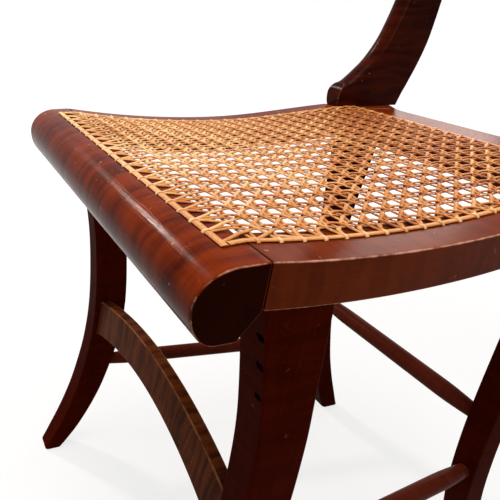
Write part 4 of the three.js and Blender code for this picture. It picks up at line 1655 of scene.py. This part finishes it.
@dataclass
class Studio:
    """Floor, lamps, sky and camera."""

    plan: ChairPlan
    place: Triple = (382.9, -148.1, 568.3)
    azimuth: float = 72.08
    pitch: float = 33.56
    roll: float = 0.48
    focal: float = 527.25
    image: float = 500.0
    shift: Pair = (0.2996, 0.1647)
    sensor: float = 36.0
    sky_light: float = 0.08
    clip: Pair = (0.01, 50.0)
    seat: Triple = (0.0, 0.0, 0.45)
    floor_reach: float = 12.0
    floor_grey: float = 0.32
    floor_glow: float = 0.76
    floor_fade: Pair = (0.6, 1.6)

    def camera(self) -> None:
        """Place the camera where the photograph was taken from."""
        a, p, r = (math.radians(v) for v in (self.azimuth, self.pitch, self.roll))
        ahead = Vector((-math.sin(a) * math.cos(p), math.cos(a) * math.cos(p), -math.sin(p)))
        right = Vector((math.cos(a), math.sin(a), 0))
        top = right.cross(ahead)
        x = right * math.cos(r) + top * math.sin(r)
        y = top * math.cos(r) - right * math.sin(r)
        data = bpy.data.cameras.new("view")
        data.sensor_width = self.sensor
        data.lens = self.focal * self.sensor / self.image
        data.shift_x, data.shift_y = self.shift
        data.clip_start, data.clip_end = self.clip
        camera = add_object("view", data)
        turn = Matrix((x, y, -ahead)).transposed().to_4x4()
        camera.matrix_world = Matrix.Translation(self.plan.point(*self.place)) @ turn
        bpy.context.scene.camera = camera

    def lamp(self, name: str, place: Triple, size: float, power: float, colour: str) -> None:
        """Add a square soft lamp that points at the seat.

        Args:
            name: Name of the lamp.
            place: Where it stands, in metres.
            size: Width of its face, in metres.
            power: Power in watts.
            colour: Hex code of its light.
        """
        data = bpy.data.lights.new(name, "AREA")
        data.shape = "SQUARE"
        data.size = size
        data.energy = power
        data.color = srgb(colour)
        lamp = add_object(name, data)
        lamp.visible_camera = False
        lamp.location = place
        lamp.rotation_mode = "QUATERNION"
        lamp.rotation_quaternion = (Vector(self.seat) - Vector(place)).to_track_quat("-Z", "Y")

    def lamps(self) -> None:
        """Small key lamp for the highlight along the roll, and softer ones above, aside and behind."""
        self.lamp("key", (-1.33, -0.52, 1.31), 0.15, 10.5, "fff2e4")
        self.lamp("top", (0.1, -0.2, 2.2), 1.2, 28.0, "fff8f0")
        self.lamp("side", (2.0, -0.9, 1.2), 1.0, 9.0, "ffffff")
        self.lamp("window", (-0.85, 1.05, 0.83), 0.35, 1.8, "fff2e8")

    def sky(self) -> None:
        """Even sky, white to the camera and in reflections."""
        world = bpy.data.worlds.new("sky")
        bpy.context.scene.world = world
        world.use_nodes = True
        board = Board(world.node_tree)
        soft, shown = (board.value("ShaderNodeBackground", {"Color": (1, 1, 1), "Strength": strength})
                       for strength in (self.sky_light, 1.0))
        mixed = board.value("ShaderNodeMixShader", {0: board.white_rays(), 1: soft, 2: shown})
        board.add("ShaderNodeOutputWorld", {"Surface": mixed})

    def floor(self) -> None:
        """Pale floor that keeps the chair's shadow and fades to white."""
        reach = self.floor_reach
        mesh = bpy.data.meshes.new("floor")
        mesh.from_pydata([(x, y, 0) for x, y in oblong(-reach, -reach, reach, reach)], [], [(0, 1, 2, 3)])
        floor = add_object("floor", mesh)
        material, board = new_material("pale_floor")
        far = board.value("ShaderNodeVectorMath", {0: board.place()}, "Value", operation="LENGTH")
        fade = board.range(far, *self.floor_fade) * (1 - self.floor_glow)
        matt = board.value("ShaderNodeBsdfDiffuse", {"Color": (self.floor_grey,) * 3})
        glow = board.value("ShaderNodeEmission", {
            "Color": (1, 1, 1), "Strength": board.white_rays() * (fade + self.floor_glow)})
        both = board.value("ShaderNodeAddShader", {0: matt, 1: glow})
        board.add("ShaderNodeOutputMaterial", {"Surface": both})
        mesh.materials.append(material)

    def build(self) -> None:
        """Set the stage."""
        self.floor()
        self.sky()
        self.lamps()
        self.camera()
        bpy.context.scene.view_settings.view_transform = "Standard"


def main() -> None:
    """Build the chair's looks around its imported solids."""
    logging.basicConfig(level=logging.INFO, format="%(name)s: %(message)s")
    for name in [o.name for o in bpy.data.objects]:
        bpy.data.objects.remove(bpy.data.objects[name])
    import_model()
    plan = ChairPlan(set_back=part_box("side_rail_right")[1].y / MM - ChairPlan.side_length)
    palette = Palette()
    legs = Legs(plan, palette)
    for part in (SeatFrame(plan, palette), legs, Nails(plan, palette, legs), Back(plan, palette),
                 Stretchers(plan, palette, legs), CaneSeat(plan, palette), Studio(plan)):
        part.build()
        log.info("%s built", type(part).__name__)
    log.info("size file written")


if __name__ == "__main__":
    main()
